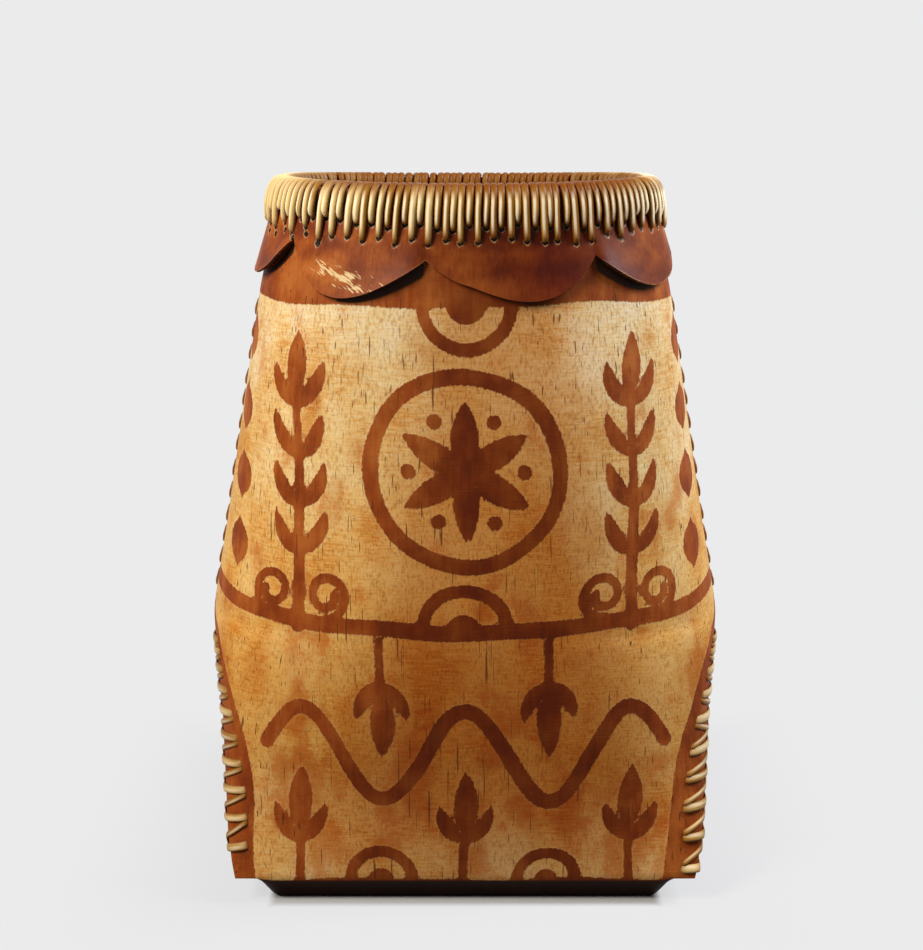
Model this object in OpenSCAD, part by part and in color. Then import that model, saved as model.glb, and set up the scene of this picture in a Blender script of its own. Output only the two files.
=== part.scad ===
// Birch bark basket: a folded bark sheet with laced end gores, a scalloped bark collar,
// a pair of bent hoops and split-root lashing. The front faces -Y, the base stands on z = 0.

/* [Body] */
// Width of the base along its folded front edge
base_w = 256; // [220:1:300]
// Depth of the base from the front fold to the back fold
base_d = 184; // [150:1:220]
// Height of the folded edges above the table
fold_z = 15; // [8:0.5:24]
// Share of the base width that lies flat on the table
flat_share_w = 0.8; // [0.5:0.05:0.85]
// Share of the base depth that lies flat on the table
flat_share_d = 0.75; // [0.5:0.05:0.8]
// Outside width of the bark at the shoulders, where the gores end
shoulder_w = 287; // [260:1:320]
// Height of the shoulders
shoulder_z = 155; // [130:1:190]
// Outside width of the bark at the mouth
mouth_w = 206; // [180:1:240]
// Outside depth of the bark at the mouth
mouth_d = 154; // [130:1:180]
// Height of the top edge of the bark
wall_top = 397; // [350:1:440]
// How far the front and the back swell past a straight line
belly = 9; // [0:0.5:15]
// Roundness of the mouth: 2 is an ellipse, more is squarer
squareness = 2.4; // [2:0.1:3]
// Thickness of the bark sheet
bark_t = 2.4; // [1.6:0.1:3.2]

/* [Gores] */
// Gap between the edges that are laced together
seam_gap = 0.8; // [0.5:0.1:1.5]
// Half width of the blunt tip of a gore
gore_tip = 1; // [0.5:0.25:3]
// Width of the tab that a gore turns in along the base
gore_tab = 16; // [8:1:24]
// How far the tab stops short of the front and back walls
tab_inset = 10; // [6:1:20]

/* [Collar] */
// Thickness of the collar strips
collar_t = 1.4; // [1:0.1:2]
// Drop from the top edge to the points between scallops
collar_cusp = 39; // [34:1:46]
// Drop from the top edge to the lowest point of a scallop
collar_drop = 59; // [48:1:70]
// Number of scallops round the collar
scallops = 8; // [6:2:12]
// How far the tips of the scallops stand off the wall
collar_flare = 3.5; // [0:0.5:6]
// Angle by which the front strip laps over the back strip at each side
lap_angle = 15; // [7.5:7.5:22.5]

/* [Rim] */
// Height of the hoops
hoop_h = 14; // [12:1:18]
// Thickness of the hoops
hoop_t = 3.2; // [2.4:0.1:5]
// Bevel along the outer edges of the hoops
hoop_bevel = 1.8; // [0.8:0.1:2.2]
// Length of the scarf where the two ends of a hoop overlap
scarf_len = 50; // [30:1:70]
// Loops in each root length
rim_loops = 24; // [16:1:24]
// Drop from the hoop to the upper row of holes
hole_upper = 5; // [4:0.5:7]
// Drop from the upper row of holes to the lower row
hole_step = 7; // [5:0.5:9]

/* [Roots] */
// Width of a split root
root_w = 3.6; // [2.6:0.1:3.6]
// Thickness of a split root
root_t = 2.4; // [1.6:0.1:3]
// Loops in each upright side seam
side_loops = 13; // [8:1:16]
// Loops in each slanted corner seam
corner_loops = 10; // [6:1:12]
// Distance from an upright seam to its holes
side_stitch = 7; // [6:0.5:10]
// Distance from a slanted seam to its holes in the wall
corner_stitch = 13; // [10:0.5:16]
// Distance from a slanted seam to its holes in the gore
gore_stitch = 9; // [7:0.5:12]

/* [Fits] */
// Clearance between layers that lie on each other
lay_clear = 0.3; // [0.2:0.05:0.5]
// Clearance round a root in its hole
hole_clear = 0.5; // [0.3:0.05:0.8]

/* [Hidden] */

// Colours
bark_colour = "#b88a52";
collar_colour = "#5a2e22";
hoop_colour = "#c79a62";
root_colour = "#a8743a";

// Steps of the curved sheets
column_step = 7.5;
wall_rows = 12;
row_crowding = 1.5;
base_steps = 5;
collar_rows = 5;
gore_rows = 8;
gore_columns = 8;

// Shape of the corner where the wall turns into a fold
corner_round = 20;
// Exponent of the rounded mouth
bend = 2 / squareness;
// First point between two scallops, left of the middle of the front
first_cusp = -7.5;
// Sharpness of a scallop's curve
scallop_curve = 2;
// Where the strips begin to stand off the wall, below the top edge
flare_start = 26;
// How late the strips curl away from the wall
flare_curve = 1.5;
// A root narrows to this share of its width on its rounded side
root_crown = 0.6;
// Most that a root's section stretches where it turns a corner
most_stretch = 1.6;
// Steps between two points of a root when its gap to itself is measured
gap_steps = 3;
// Length by which a cutter passes through what it cuts
cut_over = 12;
// Room for the flats of the bent sheets, on the hollow side
flat_room = 0.5;
// Room inside the bark in which a root turns
turn_room = 1;
// Thickness of the thin end of a scarf
scarf_tip = 0.5;

// Heights at the rim
hoop_low = wall_top - hoop_h;
collar_low = wall_top - collar_drop;
// Distances from the outside of the bark, outwards
collar_in = lay_clear;
collar_out = collar_in + collar_t;
hoop_in = collar_out + lay_clear;
hoop_out = hoop_in + hoop_t;
root_out = hoop_out + lay_clear + root_t / 2;
// Distances from the outside of the bark, inwards
inner_hoop_out = -bark_t - lay_clear;
inner_hoop_in = inner_hoop_out - hoop_t;
root_in = inner_hoop_in - lay_clear - flat_room - root_t / 2;
root_top = wall_top + lay_clear + root_t / 2;
root_over = lay_clear + root_t / 2;
// Extra offset of a root that turns a bevel
bevel_turn = root_over * tan(22.5);

// Small helpers
function unit(v) = v / norm(v);
function signed_pow(v, e) = sign(v) * pow(abs(v), e);
function mix(a, b, s) = a + (b - a) * s;
function flip_y(p) = [p.x, -p.y, p.z];
function ease(s) = s <= 0 ? 0 : s >= 1 ? 1 : s * s * (3 - 2 * s);

// Outline of the body at a height
function wall_share(z) = (z - fold_z) / (wall_top - fold_z);
function gore_share(z) = max(0, (shoulder_z - z) / (shoulder_z - fold_z));
function front_depth(z) =
    mix(base_d, mouth_d, wall_share(z)) / 2 + belly * sin(180 * wall_share(z));
function side_x(z) = z < shoulder_z
    ? mix(shoulder_w, base_w, gore_share(z)) / 2
    : mix(shoulder_w, mouth_w, (z - shoulder_z) / (wall_top - shoulder_z)) / 2;
function seam_y(z) = mix(seam_gap, base_d, gore_share(z)) / 2;

// A point on the outside of the front wall, and the way out from it
function wall_point(a, z) = [
    side_x(z) * signed_pow(sin(a), bend),
    -seam_y(z) - (front_depth(z) - seam_y(z)) * signed_pow(cos(a), bend),
    z
];
function way_out(a, z) = unit([
    signed_pow(sin(a), 2 - bend) / side_x(z),
    -signed_pow(cos(a), 2 - bend) / max(front_depth(z) - seam_y(z), corner_round),
    0
]);

// The same on the whole ring of the mouth, at a distance d from the bark
function rim_out(a, z) = unit([
    signed_pow(sin(a), 2 - bend) / side_x(z),
    -signed_pow(cos(a), 2 - bend) / front_depth(z),
    0
]);
function rim_point(a, z, d) =
    [side_x(z) * signed_pow(sin(a), bend), -front_depth(z) * signed_pow(cos(a), bend), z]
    + d * rim_out(a, z);

// Angles round the rim by the distance along its inside, where the roots lie closest
ring_step = 1;
ring_table = [
    for (a = -180, s = 0; a <= 180;
        s = s + norm(rim_point(a + ring_step, wall_top, root_in) - rim_point(a, wall_top, root_in)),
        a = a + ring_step)
    [s, a]
];
ring_len = ring_table[len(ring_table) - 1][0];
function ring_angle(s) = lookup(s, ring_table);

// A bark or wood sheet between two grids of points, rows by columns
module sheet(outer, inner) {
    rows = len(outer);
    cols = len(outer[0]);
    n = rows * cols;
    edge = concat(
        [for (c = [0 : cols - 2]) c],
        [for (r = [0 : rows - 2]) r * cols + cols - 1],
        [for (c = [cols - 1 : -1 : 1]) (rows - 1) * cols + c],
        [for (r = [rows - 1 : -1 : 1]) r * cols]
    );
    faces = concat(
        [for (r = [0 : rows - 2], c = [0 : cols - 2])
            let (i = r * cols + c)
            each [
                [i, i + 1, i + cols + 1], [i, i + cols + 1, i + cols],
                [n + i, n + i + cols + 1, n + i + 1], [n + i, n + i + cols, n + i + cols + 1]
            ]],
        [for (k = [0 : len(edge) - 1])
            let (a = edge[k], b = edge[(k + 1) % len(edge)])
            each [[b, a, n + a], [b, n + a, n + b]]]
    );
    polyhedron([for (row = outer) each row, for (row = inner) each row], faces);
}

columns = [for (a = [-90 : column_step : 90]) a];
wall_heights = [for (r = [wall_rows : -1 : 1]) mix(fold_z, wall_top, pow(r / wall_rows, row_crowding))];

// Base of the body: flat in the middle, rising to the folds
function rise(s, flat_part) =
    s <= flat_part ? 0 : 1 - cos(90 * (s - flat_part) / (1 - flat_part));
base_half = [for (k = [0 : base_steps - 1]) mix(flat_share_d, 1, k / base_steps)];
base_lines = base_d / 2 * concat([for (k = [base_steps - 1 : -1 : 0]) -base_half[k]], [0], base_half);
base_x = [for (a = columns) wall_point(a, fold_z).x];
drop_x = [for (x = base_x) [x, 1 - rise(min(1, 2 * abs(x) / base_w), flat_share_w)]];
drop_y = [for (y = concat([-base_d / 2], base_lines, [base_d / 2]))
    [y, 1 - rise(min(1, 2 * abs(y) / base_d), flat_share_d)]];
function base_z(x, y) = fold_z * (1 - lookup(x, drop_x) * lookup(y, drop_y));

function wall_row(z) = [for (a = columns) wall_point(a, z)];
function wall_row_in(z) = [for (a = columns) wall_point(a, z) - bark_t * way_out(a, z)];
function fold_row() = wall_row(fold_z);
function fold_row_in() = [for (p = wall_row_in(fold_z)) p + [0, 0, bark_t]];
function base_row(y) = [for (x = base_x) [x, y, base_z(x, y)]];
function raised(row) = [for (p = row) p + [0, 0, bark_t]];
function flipped(row) = [for (p = row) flip_y(p)];

module bark_sheet() {
    front = [for (z = wall_heights) wall_row(z)];
    front_in = [for (z = wall_heights) wall_row_in(z)];
    last = len(front) - 1;
    sheet(
        concat(
            front,
            [fold_row()],
            [for (y = base_lines) base_row(y)],
            [flipped(fold_row())],
            [for (r = [last : -1 : 0]) flipped(front[r])]
        ),
        concat(
            front_in,
            [fold_row_in()],
            [for (y = base_lines) raised(base_row(y))],
            [flipped(fold_row_in())],
            [for (r = [last : -1 : 0]) flipped(front_in[r])]
        )
    );
}

// Shares of the tab's width at which it has a row of points
tab_shares = [0.1, 1];
// A gore: a triangle on the end of the base, with a tab turned in along it
function gore_half(z) = seam_y(z) - seam_gap;
gore_low = fold_z + bark_t + lay_clear;
gore_high = shoulder_z - (gore_tip + seam_gap / 2) / (base_d / 2 - seam_gap / 2) * (shoulder_z - fold_z);
function gore_line(z, x) =
    [for (c = [0 : gore_columns]) [x, gore_half(z) * (2 * c / gore_columns - 1), z]];
function tab_line(share) =
    let (half = gore_half(gore_low) - bark_t - tab_inset * share)
    [for (c = [0 : gore_columns])
        [side_x(gore_low) - bark_t - gore_tab * share, half * (2 * c / gore_columns - 1), gore_low]];

module gore_sheet() {
    heights = [for (r = [0 : gore_rows]) mix(gore_high, gore_low, r / gore_rows)];
    sheet(
        concat(
            [for (z = heights) gore_line(z, side_x(z))],
            [for (share = tab_shares) tab_line(share)]
        ),
        concat(
            [for (z = heights)
                [for (p = gore_line(z, side_x(z) - bark_t)) p + [0, 0, z == gore_low ? bark_t : 0]]],
            [for (share = tab_shares) raised(tab_line(share))]
        )
    );
}

// Collar: extra height of its lower edge, and how far it stands off the wall
function scallop_rise(a) =
    let (width = 360 / scallops, s = (((a - first_cusp) % width) + width) % width / width)
    (collar_drop - collar_cusp) * pow(abs(2 * s - 1), scallop_curve);
function stand_off(z) = collar_flare *
    pow(max(0, wall_top - flare_start - z) / (collar_drop - flare_start), flare_curve);
// The front strip steps out over the back strip where they lap
function over_lap(a) =
    let (off = abs(abs(((a + 180) % 360 + 360) % 360 - 180) - 90))
    (collar_t + lay_clear) * (1 - ease((off - lap_angle) / lap_angle));

function collar_line(a_list, s, d, lapped) = [for (a = a_list)
    let (z = mix(wall_top, collar_low + scallop_rise(a), s))
    rim_point(a, z, d + stand_off(z) + (lapped ? over_lap(a) : 0))];

module collar_strip(a_from, a_to, lapped) {
    a_list = [for (a = [a_from : column_step : a_to]) a];
    steps = [for (r = [0 : collar_rows]) r / collar_rows];
    sheet(
        [for (s = steps) collar_line(a_list, s, collar_out, lapped)],
        [for (s = steps) collar_line(a_list, s, collar_in, lapped)]
    );
}

// Hoops: a bevelled strip bent round the rim, its two ends scarfed over each other
module hoop(d_flat, d_round, middle) {
    speed = norm(rim_point(middle + 1, wall_top, 0) - rim_point(middle, wall_top, 0));
    angle = column_step * max(2, 2 * round(scarf_len / speed / column_step / 2));
    from = middle - angle / 2;
    to = middle + 360 + angle / 2;
    side = sign(d_round - d_flat);
    bevel = side * hoop_bevel;
    tip = side * scarf_tip;
    step = tip + side * lay_clear;
    section = [
        [d_flat, wall_top], [d_round - bevel, wall_top], [d_round, wall_top - hoop_bevel],
        [d_round, hoop_low + hoop_bevel], [d_round - bevel, hoop_low], [d_flat, hoop_low]
    ];
    function low(a) = a > from + angle ? d_flat
        : mix(d_round - tip, d_flat + step, (a - from) / angle);
    function high(a) = a < to - angle ? d_round
        : mix(d_flat + tip, d_round - step, (to - a) / angle);
    function bent(a) = [for (p = section)
        let (
            d = side * min(max(side * p.x, side * low(a)), side * high(a)),
            cut = max(0, side * (d - d_round) + hoop_bevel),
            z = max(min(p.y, wall_top - cut), hoop_low + cut)
        )
        rim_point(a, z, d + (side > 0 ? over_lap(a) : 0))];
    rings = [for (a = [from : column_step : to]) bent(a)];
    tube(side > 0 ? rings : [for (r = rings) [for (k = [len(r) - 1 : -1 : 0]) r[k]]]);
}

// A solid through a list of rings that all have the same number of points
module tube(rings) {
    sides = len(rings[0]);
    last = len(rings) - 1;
    faces = concat(
        [for (i = [0 : last - 1], j = [0 : sides - 1])
            let (a = i * sides + j, b = i * sides + (j + 1) % sides)
            each [[a, a + sides, b + sides], [a, b + sides, b]]],
        [for (j = [1 : sides - 2]) [0, j, j + 1]],
        [for (j = [1 : sides - 2]) [last * sides, last * sides + j + 1, last * sides + j]]
    );
    polyhedron([for (r = rings) each r], faces);
}

// A split root along a path, each point with the way that the root's width lies
function root_ring(before, here, after, across) =
    let (
        t_in = unit(here - before),
        t_out = unit(after - here),
        t = unit(t_in + t_out),
        stretch = min(most_stretch, 2 / norm(t_in + t_out)),
        w = unit(across - (across * t) * t),
        u = cross(t, w) * stretch
    )
    [
        here + w * root_w / 2 + u * root_t / 2,
        here - w * root_w / 2 + u * root_t / 2,
        here - w * root_w / 2 * root_crown - u * root_t / 2,
        here + w * root_w / 2 * root_crown - u * root_t / 2
    ];
module root(path) {
    last = len(path) - 1;
    tube([for (i = [0 : last])
        let (
            here = path[i][0],
            before = i == 0 ? 2 * here - path[1][0] : path[i - 1][0],
            after = i == last ? 2 * here - path[last - 1][0] : path[i + 1][0]
        )
        root_ring(before, here, after, path[i][1])]);
}
// Least gap of a root to its own next loops, measured on points along it
function least_gap(path, loop_points) =
    let (
        points = [for (i = [0 : len(path) - 2], k = [0 : gap_steps - 1])
            mix(path[i][0], path[i + 1][0], k / gap_steps)],
        skip = (loop_points - 1) * gap_steps
    )
    min([for (i = [0 : len(points) - 1 - skip],
            j = [i + skip : min(len(points) - 1, i + 2 * loop_points * gap_steps)])
        norm(points[i] - points[j])]) - root_w;

// Number of root lengths round the rim
rim_lengths = 5;
// Rim lashing: holes in two rows, and the loops through them
rim_total = rim_lengths * rim_loops;
rim_pitch = ring_len / rim_total;
function hole_angle(k) = ring_angle((k + 0.5) * rim_pitch);
function hole_z(k) = hoop_low - hole_upper - (k % 2) * hole_step;
function rim_across(a) =
    unit(rim_point(a + ring_step, wall_top, 0) - rim_point(a - ring_step, wall_top, 0));
function rim_spot(k, ahead, z, d) =
    let (a = ring_angle((k + 0.5 + ahead) * rim_pitch))
    [rim_point(a, z, d + (d > 0 ? over_lap(a) : 0)), rim_across(a)];
// Share of the pitch by which a loop leans forward from point to point
lean = 0.1;
// Points of one loop: out of the hole, up, over the rim and down inside
function rim_loop(k, is_last) = [
    rim_spot(k, 0, hole_z(k), root_in),
    rim_spot(k, 0, hole_z(k), root_out),
    rim_spot(k, lean, wall_top - hoop_bevel + bevel_turn, root_out),
    rim_spot(k, 2 * lean, root_top, hoop_out - hoop_bevel + bevel_turn),
    rim_spot(k, 3 * lean, root_top, root_in + root_over + hoop_bevel - bevel_turn),
    rim_spot(k, 4 * lean, wall_top - hoop_bevel + bevel_turn, root_in),
    if (is_last) rim_spot(k, 5 * lean, hoop_low, root_in)
];
function rim_path(i) = [for (k = [0 : rim_loops - 1])
    each rim_loop(i * rim_loops + k, k == rim_loops - 1)];

// A box along the way out, for a root to pass through
module root_hole(p, out, across) {
    w = unit(across - (across * out) * out);
    u = cross(w, out);
    multmatrix([
        [w.x, u.x, out.x, p.x], [w.y, u.y, out.y, p.y], [w.z, u.z, out.z, p.z], [0, 0, 0, 1]
    ])
        cube([root_w + 2 * hole_clear, root_t + 2 * hole_clear, 2 * cut_over], center = true);
}
module rim_holes(a_from, a_to) {
    for (k = [0 : rim_total - 1])
        let (a = hole_angle(k), turn = a < a_from ? a + 360 : a)
            if (turn >= a_from && turn <= a_to)
                root_hole(rim_point(a, hole_z(k), 0), rim_out(a, hole_z(k)), rim_across(a));
}

// Angle on the front wall at a distance from its side edge
march_step = 0.5;
function edge_angle(z, s, a = 90) =
    s <= 0 || a <= 0 ? a
    : edge_angle(z, s - norm(wall_point(a, z) - wall_point(a - march_step, z)), a - march_step);

// Side seams: level loops round the edges of front and back
side_low = shoulder_z + root_w;
side_high = collar_low - root_w;
side_pitch = (side_high - side_low) / side_loops;
function side_z(k) = side_low + (k + 0.5) * side_pitch;
side_across = unit([mouth_w - shoulder_w, 0, 2 * (wall_top - shoulder_z)]);
function side_hole(k) = edge_angle(side_z(k), side_stitch);
function side_spot(k, back, d) =
    let (z = side_z(k), a = side_hole(k), p = wall_point(a, z) + d * way_out(a, z))
    [back ? flip_y(p) : p, side_across];
// The root stands clear of the rounded edge between its holes
side_bulge = 0.8;
side_out = root_over + side_bulge;
corner_bulge = 1.6;
corner_out = root_over + corner_bulge;
side_in = -bark_t - root_over - turn_room;
function side_path() = [for (k = [0 : side_loops - 1]) each [
    side_spot(k, false, side_in),
    side_spot(k, false, side_out),
    side_spot(k, true, side_out),
    side_spot(k, true, side_in)
]];

// Lengths of the corner seams without loops, at the fold and at the shoulder
corner_margin_low = 4;
corner_margin_high = 11;
// Corner seams: loops round the slanted edges of wall and gore
corner_low = fold_z + corner_margin_low;
corner_high = shoulder_z - corner_margin_high;
corner_pitch = (corner_high - corner_low) / corner_loops;
function corner_z(k) = corner_low + (k + 0.5) * corner_pitch;
corner_across = unit([shoulder_w - base_w, base_d, 2 * (shoulder_z - fold_z)]);
// Distance of a gore's holes from its middle line
gore_keep = root_t / 2 + 2 * hole_clear;
function gore_hole_y(z) = -max(gore_keep, gore_half(z) - gore_stitch);
function corner_hole(k) = edge_angle(corner_z(k), corner_stitch);
function corner_wall_spot(k, d) =
    let (z = corner_z(k), a = corner_hole(k))
    [wall_point(a, z) + d * way_out(a, z), corner_across];
function corner_gore_spot(k, d) =
    let (z = corner_z(k))
    [[side_x(z) + d, gore_hole_y(z), z], corner_across];
function corner_turn_spot(k, d) =
    let (z = corner_z(k), a = edge_angle(z, corner_stitch / 2))
    [wall_point(a, z) + d * way_out(a, z), corner_across];
function corner_edge_spot(k, d) =
    let (z = corner_z(k))
    [[side_x(z) + d, -seam_y(z), z], corner_across];
function corner_path() = [for (k = [0 : corner_loops - 1]) each [
    corner_wall_spot(k, side_in),
    corner_wall_spot(k, side_out),
    corner_turn_spot(k, corner_out),
    corner_edge_spot(k, corner_out),
    corner_gore_spot(k, side_out),
    corner_gore_spot(k, side_in)
]];

module side_holes() {
    for (k = [0 : side_loops - 1])
        let (z = side_z(k), a = side_hole(k))
            root_hole(wall_point(a, z), way_out(a, z), side_across);
    for (k = [0 : corner_loops - 1])
        let (z = corner_z(k), a = corner_hole(k))
            root_hole(wall_point(a, z), way_out(a, z), corner_across);
}
module gore_holes() {
    for (k = [0 : corner_loops - 1])
        let (z = corner_z(k))
            root_hole([side_x(z), gore_hole_y(z), z], [1, 0, 0], corner_across);
}

// Sub-parts
module bark_body() {
    color(bark_colour)
        difference() {
            bark_sheet();
            rim_holes(-180, 180);
            for (mx = [0, 1], my = [0, 1])
                mirror([mx, 0, 0]) mirror([0, my, 0]) side_holes();
        }
}
module gore_right() {
    color(bark_colour)
        difference() {
            gore_sheet();
            gore_holes();
            mirror([0, 1, 0]) gore_holes();
        }
}
module gore_left() {
    mirror([1, 0, 0]) gore_right();
}
module collar_front() {
    color(collar_colour)
        difference() {
            collar_strip(-90 - lap_angle / 2, 90 + lap_angle / 2, true);
            rim_holes(-90 - lap_angle, 90 + lap_angle);
        }
}
module collar_back() {
    color(collar_colour)
        difference() {
            collar_strip(90 - lap_angle / 2, 270 + lap_angle / 2, false);
            rim_holes(90 - lap_angle, 270 + lap_angle);
        }
}
module rim_hoop_outer() {
    color(hoop_colour) hoop(hoop_in, hoop_out, 180);
}
module rim_hoop_inner() {
    color(hoop_colour) hoop(inner_hoop_out, inner_hoop_in, 0);
}
module rim_root(i) {
    path = rim_path(i - 1);
    echo(str("rim_root_", i, " least gap"), least_gap(path, len(rim_loop(0, false))));
    color(root_colour) root(path);
}
module seam_root_right() {
    echo("seam_root least gap", least_gap(side_path(), len(side_path()) / side_loops));
    color(root_colour) root(side_path());
}
module seam_root_left() {
    mirror([1, 0, 0]) seam_root_right();
}
module corner_root(mirror_x, mirror_y) {
    echo("corner_root least gap", least_gap(corner_path(), len(corner_path()) / corner_loops));
    color(root_colour)
        mirror([mirror_x, 0, 0]) mirror([0, mirror_y, 0]) root(corner_path());
}

bark_body();
gore_left();
gore_right();
collar_front();
collar_back();
rim_hoop_outer();
rim_hoop_inner();
rim_root(1);  // rim_root_1
rim_root(2);  // rim_root_2
rim_root(3);  // rim_root_3
rim_root(4);  // rim_root_4
rim_root(5);  // rim_root_5
seam_root_left();
seam_root_right();
corner_root(1, 0);  // corner_root_front_left
corner_root(0, 0);  // corner_root_front_right
corner_root(1, 1);  // corner_root_back_left
corner_root(0, 1);  // corner_root_back_right
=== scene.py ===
import math
import random

import bpy
import numpy as np
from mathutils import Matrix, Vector


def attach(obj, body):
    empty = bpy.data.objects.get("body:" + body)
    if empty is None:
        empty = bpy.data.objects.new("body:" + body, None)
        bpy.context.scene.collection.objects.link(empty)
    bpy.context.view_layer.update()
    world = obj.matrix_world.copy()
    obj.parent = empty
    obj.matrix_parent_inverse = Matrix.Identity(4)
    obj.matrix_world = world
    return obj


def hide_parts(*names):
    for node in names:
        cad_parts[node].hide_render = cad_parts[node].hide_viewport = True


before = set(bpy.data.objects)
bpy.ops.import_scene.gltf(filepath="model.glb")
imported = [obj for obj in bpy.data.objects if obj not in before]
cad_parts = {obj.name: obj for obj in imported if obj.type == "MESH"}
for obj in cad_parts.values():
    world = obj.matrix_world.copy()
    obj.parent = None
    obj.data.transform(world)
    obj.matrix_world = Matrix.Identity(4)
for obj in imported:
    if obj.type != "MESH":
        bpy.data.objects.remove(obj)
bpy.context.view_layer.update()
mm = 0.001

# The basket's outline in mm: the CAD model's sizes, with a fuller base and sides
body = {
    "baseWidth": 256.0, "baseDepth": 184.0, "foldHeight": 15.0,
    "flatWidth": 0.82, "flatDepth": 0.88,  # shares of the base that lie on the table
    "lipWidth": 0.92, "lipDepth": 1.0,     # and where it has risen to the fold
    "shoulderWidth": 287.0, "shoulderHeight": 155.0,
    "mouthWidth": 206.0, "mouthDepth": 154.0, "wallTop": 397.0,
    "belly": 9.0, "squareness": 2.4, "cornerRound": 20.0,
    "thick": 2.4, "seamGap": 0.02, "layGap": 0.3,
    "seamArch": 0.72,  # under 1, the seams between wall and gore bow outwards
    # how far the sides swell past the CAD's straight lines, by height
    "swellHeights": (15, 24, 40, 66, 100, 130, 150, 165, 200, 340, 362, 383, 397),
    "swell": (1.2, 2.4, 3.4, 2.7, 2.0, 3.4, 4.6, 4.6, 3.9, 3.6, 2.4, 0.3, -1.6),
}
bend = 2 / body["squareness"]
wallTop = body["wallTop"]
foldHeight = body["foldHeight"]
shoulderHeight = body["shoulderHeight"]
layGap = body["layGap"]


def mix(a, b, share):
    return a + (b - a) * share


def ease(share):
    share = np.clip(share, 0, 1)
    return share * share * (3 - 2 * share)


def unit(v):
    return v / np.linalg.norm(v, axis=-1, keepdims=True)


def signedPower(v, power):
    return np.sign(v) * np.abs(v) ** power


def roundSin(a, power=bend):
    return signedPower(np.sin(np.radians(a)), power)


def roundCos(a, power=bend):
    return signedPower(np.cos(np.radians(a)), power)


def ripple(u, z, waves):  # waves: height, turn per mm along u and z, and start
    return sum(high * np.sin(perU * u + perZ * z + start) for high, perU, perZ, start in waves)


def goreShare(z):
    return np.maximum(0, (shoulderHeight - z) / (shoulderHeight - foldHeight))


def frontDepth(z):
    share = (z - foldHeight) / (wallTop - foldHeight)
    return mix(body["baseDepth"], body["mouthDepth"], share) / 2 + body["belly"] * np.sin(np.pi * share)


def sideX(z):
    low = mix(body["shoulderWidth"], body["baseWidth"], goreShare(z))
    share = (z - shoulderHeight) / (wallTop - shoulderHeight)
    straight = np.where(z < shoulderHeight, low, mix(body["shoulderWidth"], body["mouthWidth"], share)) / 2
    return straight + np.interp(z, body["swellHeights"], body["swell"])


def seamY(z):
    return mix(body["seamGap"], body["baseDepth"], goreShare(z) ** body["seamArch"]) / 2


def wallPoint(a, z):  # outside of the front wall, a from -90 at the left seam to 90
    a, z = np.broadcast_arrays(np.asarray(a, float), np.asarray(z, float))
    y = -seamY(z) - (frontDepth(z) - seamY(z)) * roundCos(a)
    return np.stack([sideX(z) * roundSin(a), y, z], -1)


def wallOut(a, z):
    a, z = np.broadcast_arrays(np.asarray(a, float), np.asarray(z, float))
    depth = np.maximum(frontDepth(z) - seamY(z), body["cornerRound"])
    return unit(np.stack([roundSin(a, 2 - bend) / sideX(z), -roundCos(a, 2 - bend) / depth, 0 * z], -1))


def rimPoint(a, z, d):  # the whole ring of the mouth, d outwards from the bark
    a, z, d = np.broadcast_arrays(np.asarray(a, float), np.asarray(z, float), np.asarray(d, float))
    spot = np.stack([sideX(z) * roundSin(a), -frontDepth(z) * roundCos(a), z], -1)
    out = np.stack([roundSin(a, 2 - bend) / sideX(z), -roundCos(a, 2 - bend) / frontDepth(z), 0 * z], -1)
    return spot + unit(out) * d[..., None]


def baseDrop(share, flat, lip):
    return np.cos(np.pi / 2 * np.clip((share - flat) / (lip - flat), 0, 1))


def baseHeight(x, y):
    dropX = baseDrop(2 * np.abs(x) / body["baseWidth"], body["flatWidth"], body["lipWidth"])
    dropY = baseDrop(2 * np.abs(y) / body["baseDepth"], body["flatDepth"], body["lipDepth"])
    return foldHeight * (1 - dropX * dropY)


def lengthsAlong(points):  # distance along each row of points from its start
    steps = np.linalg.norm(np.diff(points, axis=-2), axis=-1)
    return np.concatenate([np.zeros((*steps.shape[:-1], 1)), np.cumsum(steps, axis=-1)], axis=-1)


def rowLengths(points):  # and from its middle
    along = lengthsAlong(points)
    return along - along[..., -1:] / 2


def colour(hexText):  # sRGB hex to linear
    parts = [int(hexText[i:i + 2], 16) / 255 for i in (1, 3, 5)]
    return [p / 12.92 if p <= 0.04045 else ((p + 0.055) / 1.055) ** 2.4 for p in parts] + [1.0]


print("stage 1: camera, light and floor")
view = {"place": (-0.002, -0.9, 0.434), "tilt": 77.08, "lens": 59.4, "longSide": 36.0}
bpy.ops.object.select_all(action="DESELECT")
bpy.ops.object.camera_add(location=view["place"], rotation=(math.radians(view["tilt"]), 0, 0))
camera = bpy.context.object
camera.name = "photoCamera"
camera.data.lens = view["lens"]
camera.data.sensor_width = view["longSide"]
bpy.context.scene.camera = camera
bpy.context.scene.view_settings.view_transform = "Standard"

softbox = {"aim": (0, 0, 0.3), "size": (0.35, 0.5)}  # metres
lamps = {  # place in metres, power in watts
    "leftSoftbox": {"place": (-0.68, -0.6, 0.98), "power": 15.2, "tint": "#fff8ee"},
    "rightSoftbox": {"place": (0.84, -0.1, 0.98), "power": 16.0, "tint": "#eef2ff"},
}
for name, lamp in lamps.items():
    bpy.ops.object.light_add(type="AREA", location=lamp["place"])
    light = bpy.context.object
    light.name = name
    light.data.shape = "RECTANGLE"
    light.data.size, light.data.size_y = softbox["size"]
    light.data.energy = lamp["power"]
    light.data.color = colour(lamp["tint"])[:3]
    aim = Vector(softbox["aim"]) - Vector(lamp["place"])
    light.rotation_euler = aim.to_track_quat("-Z", "Y").to_euler()

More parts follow.
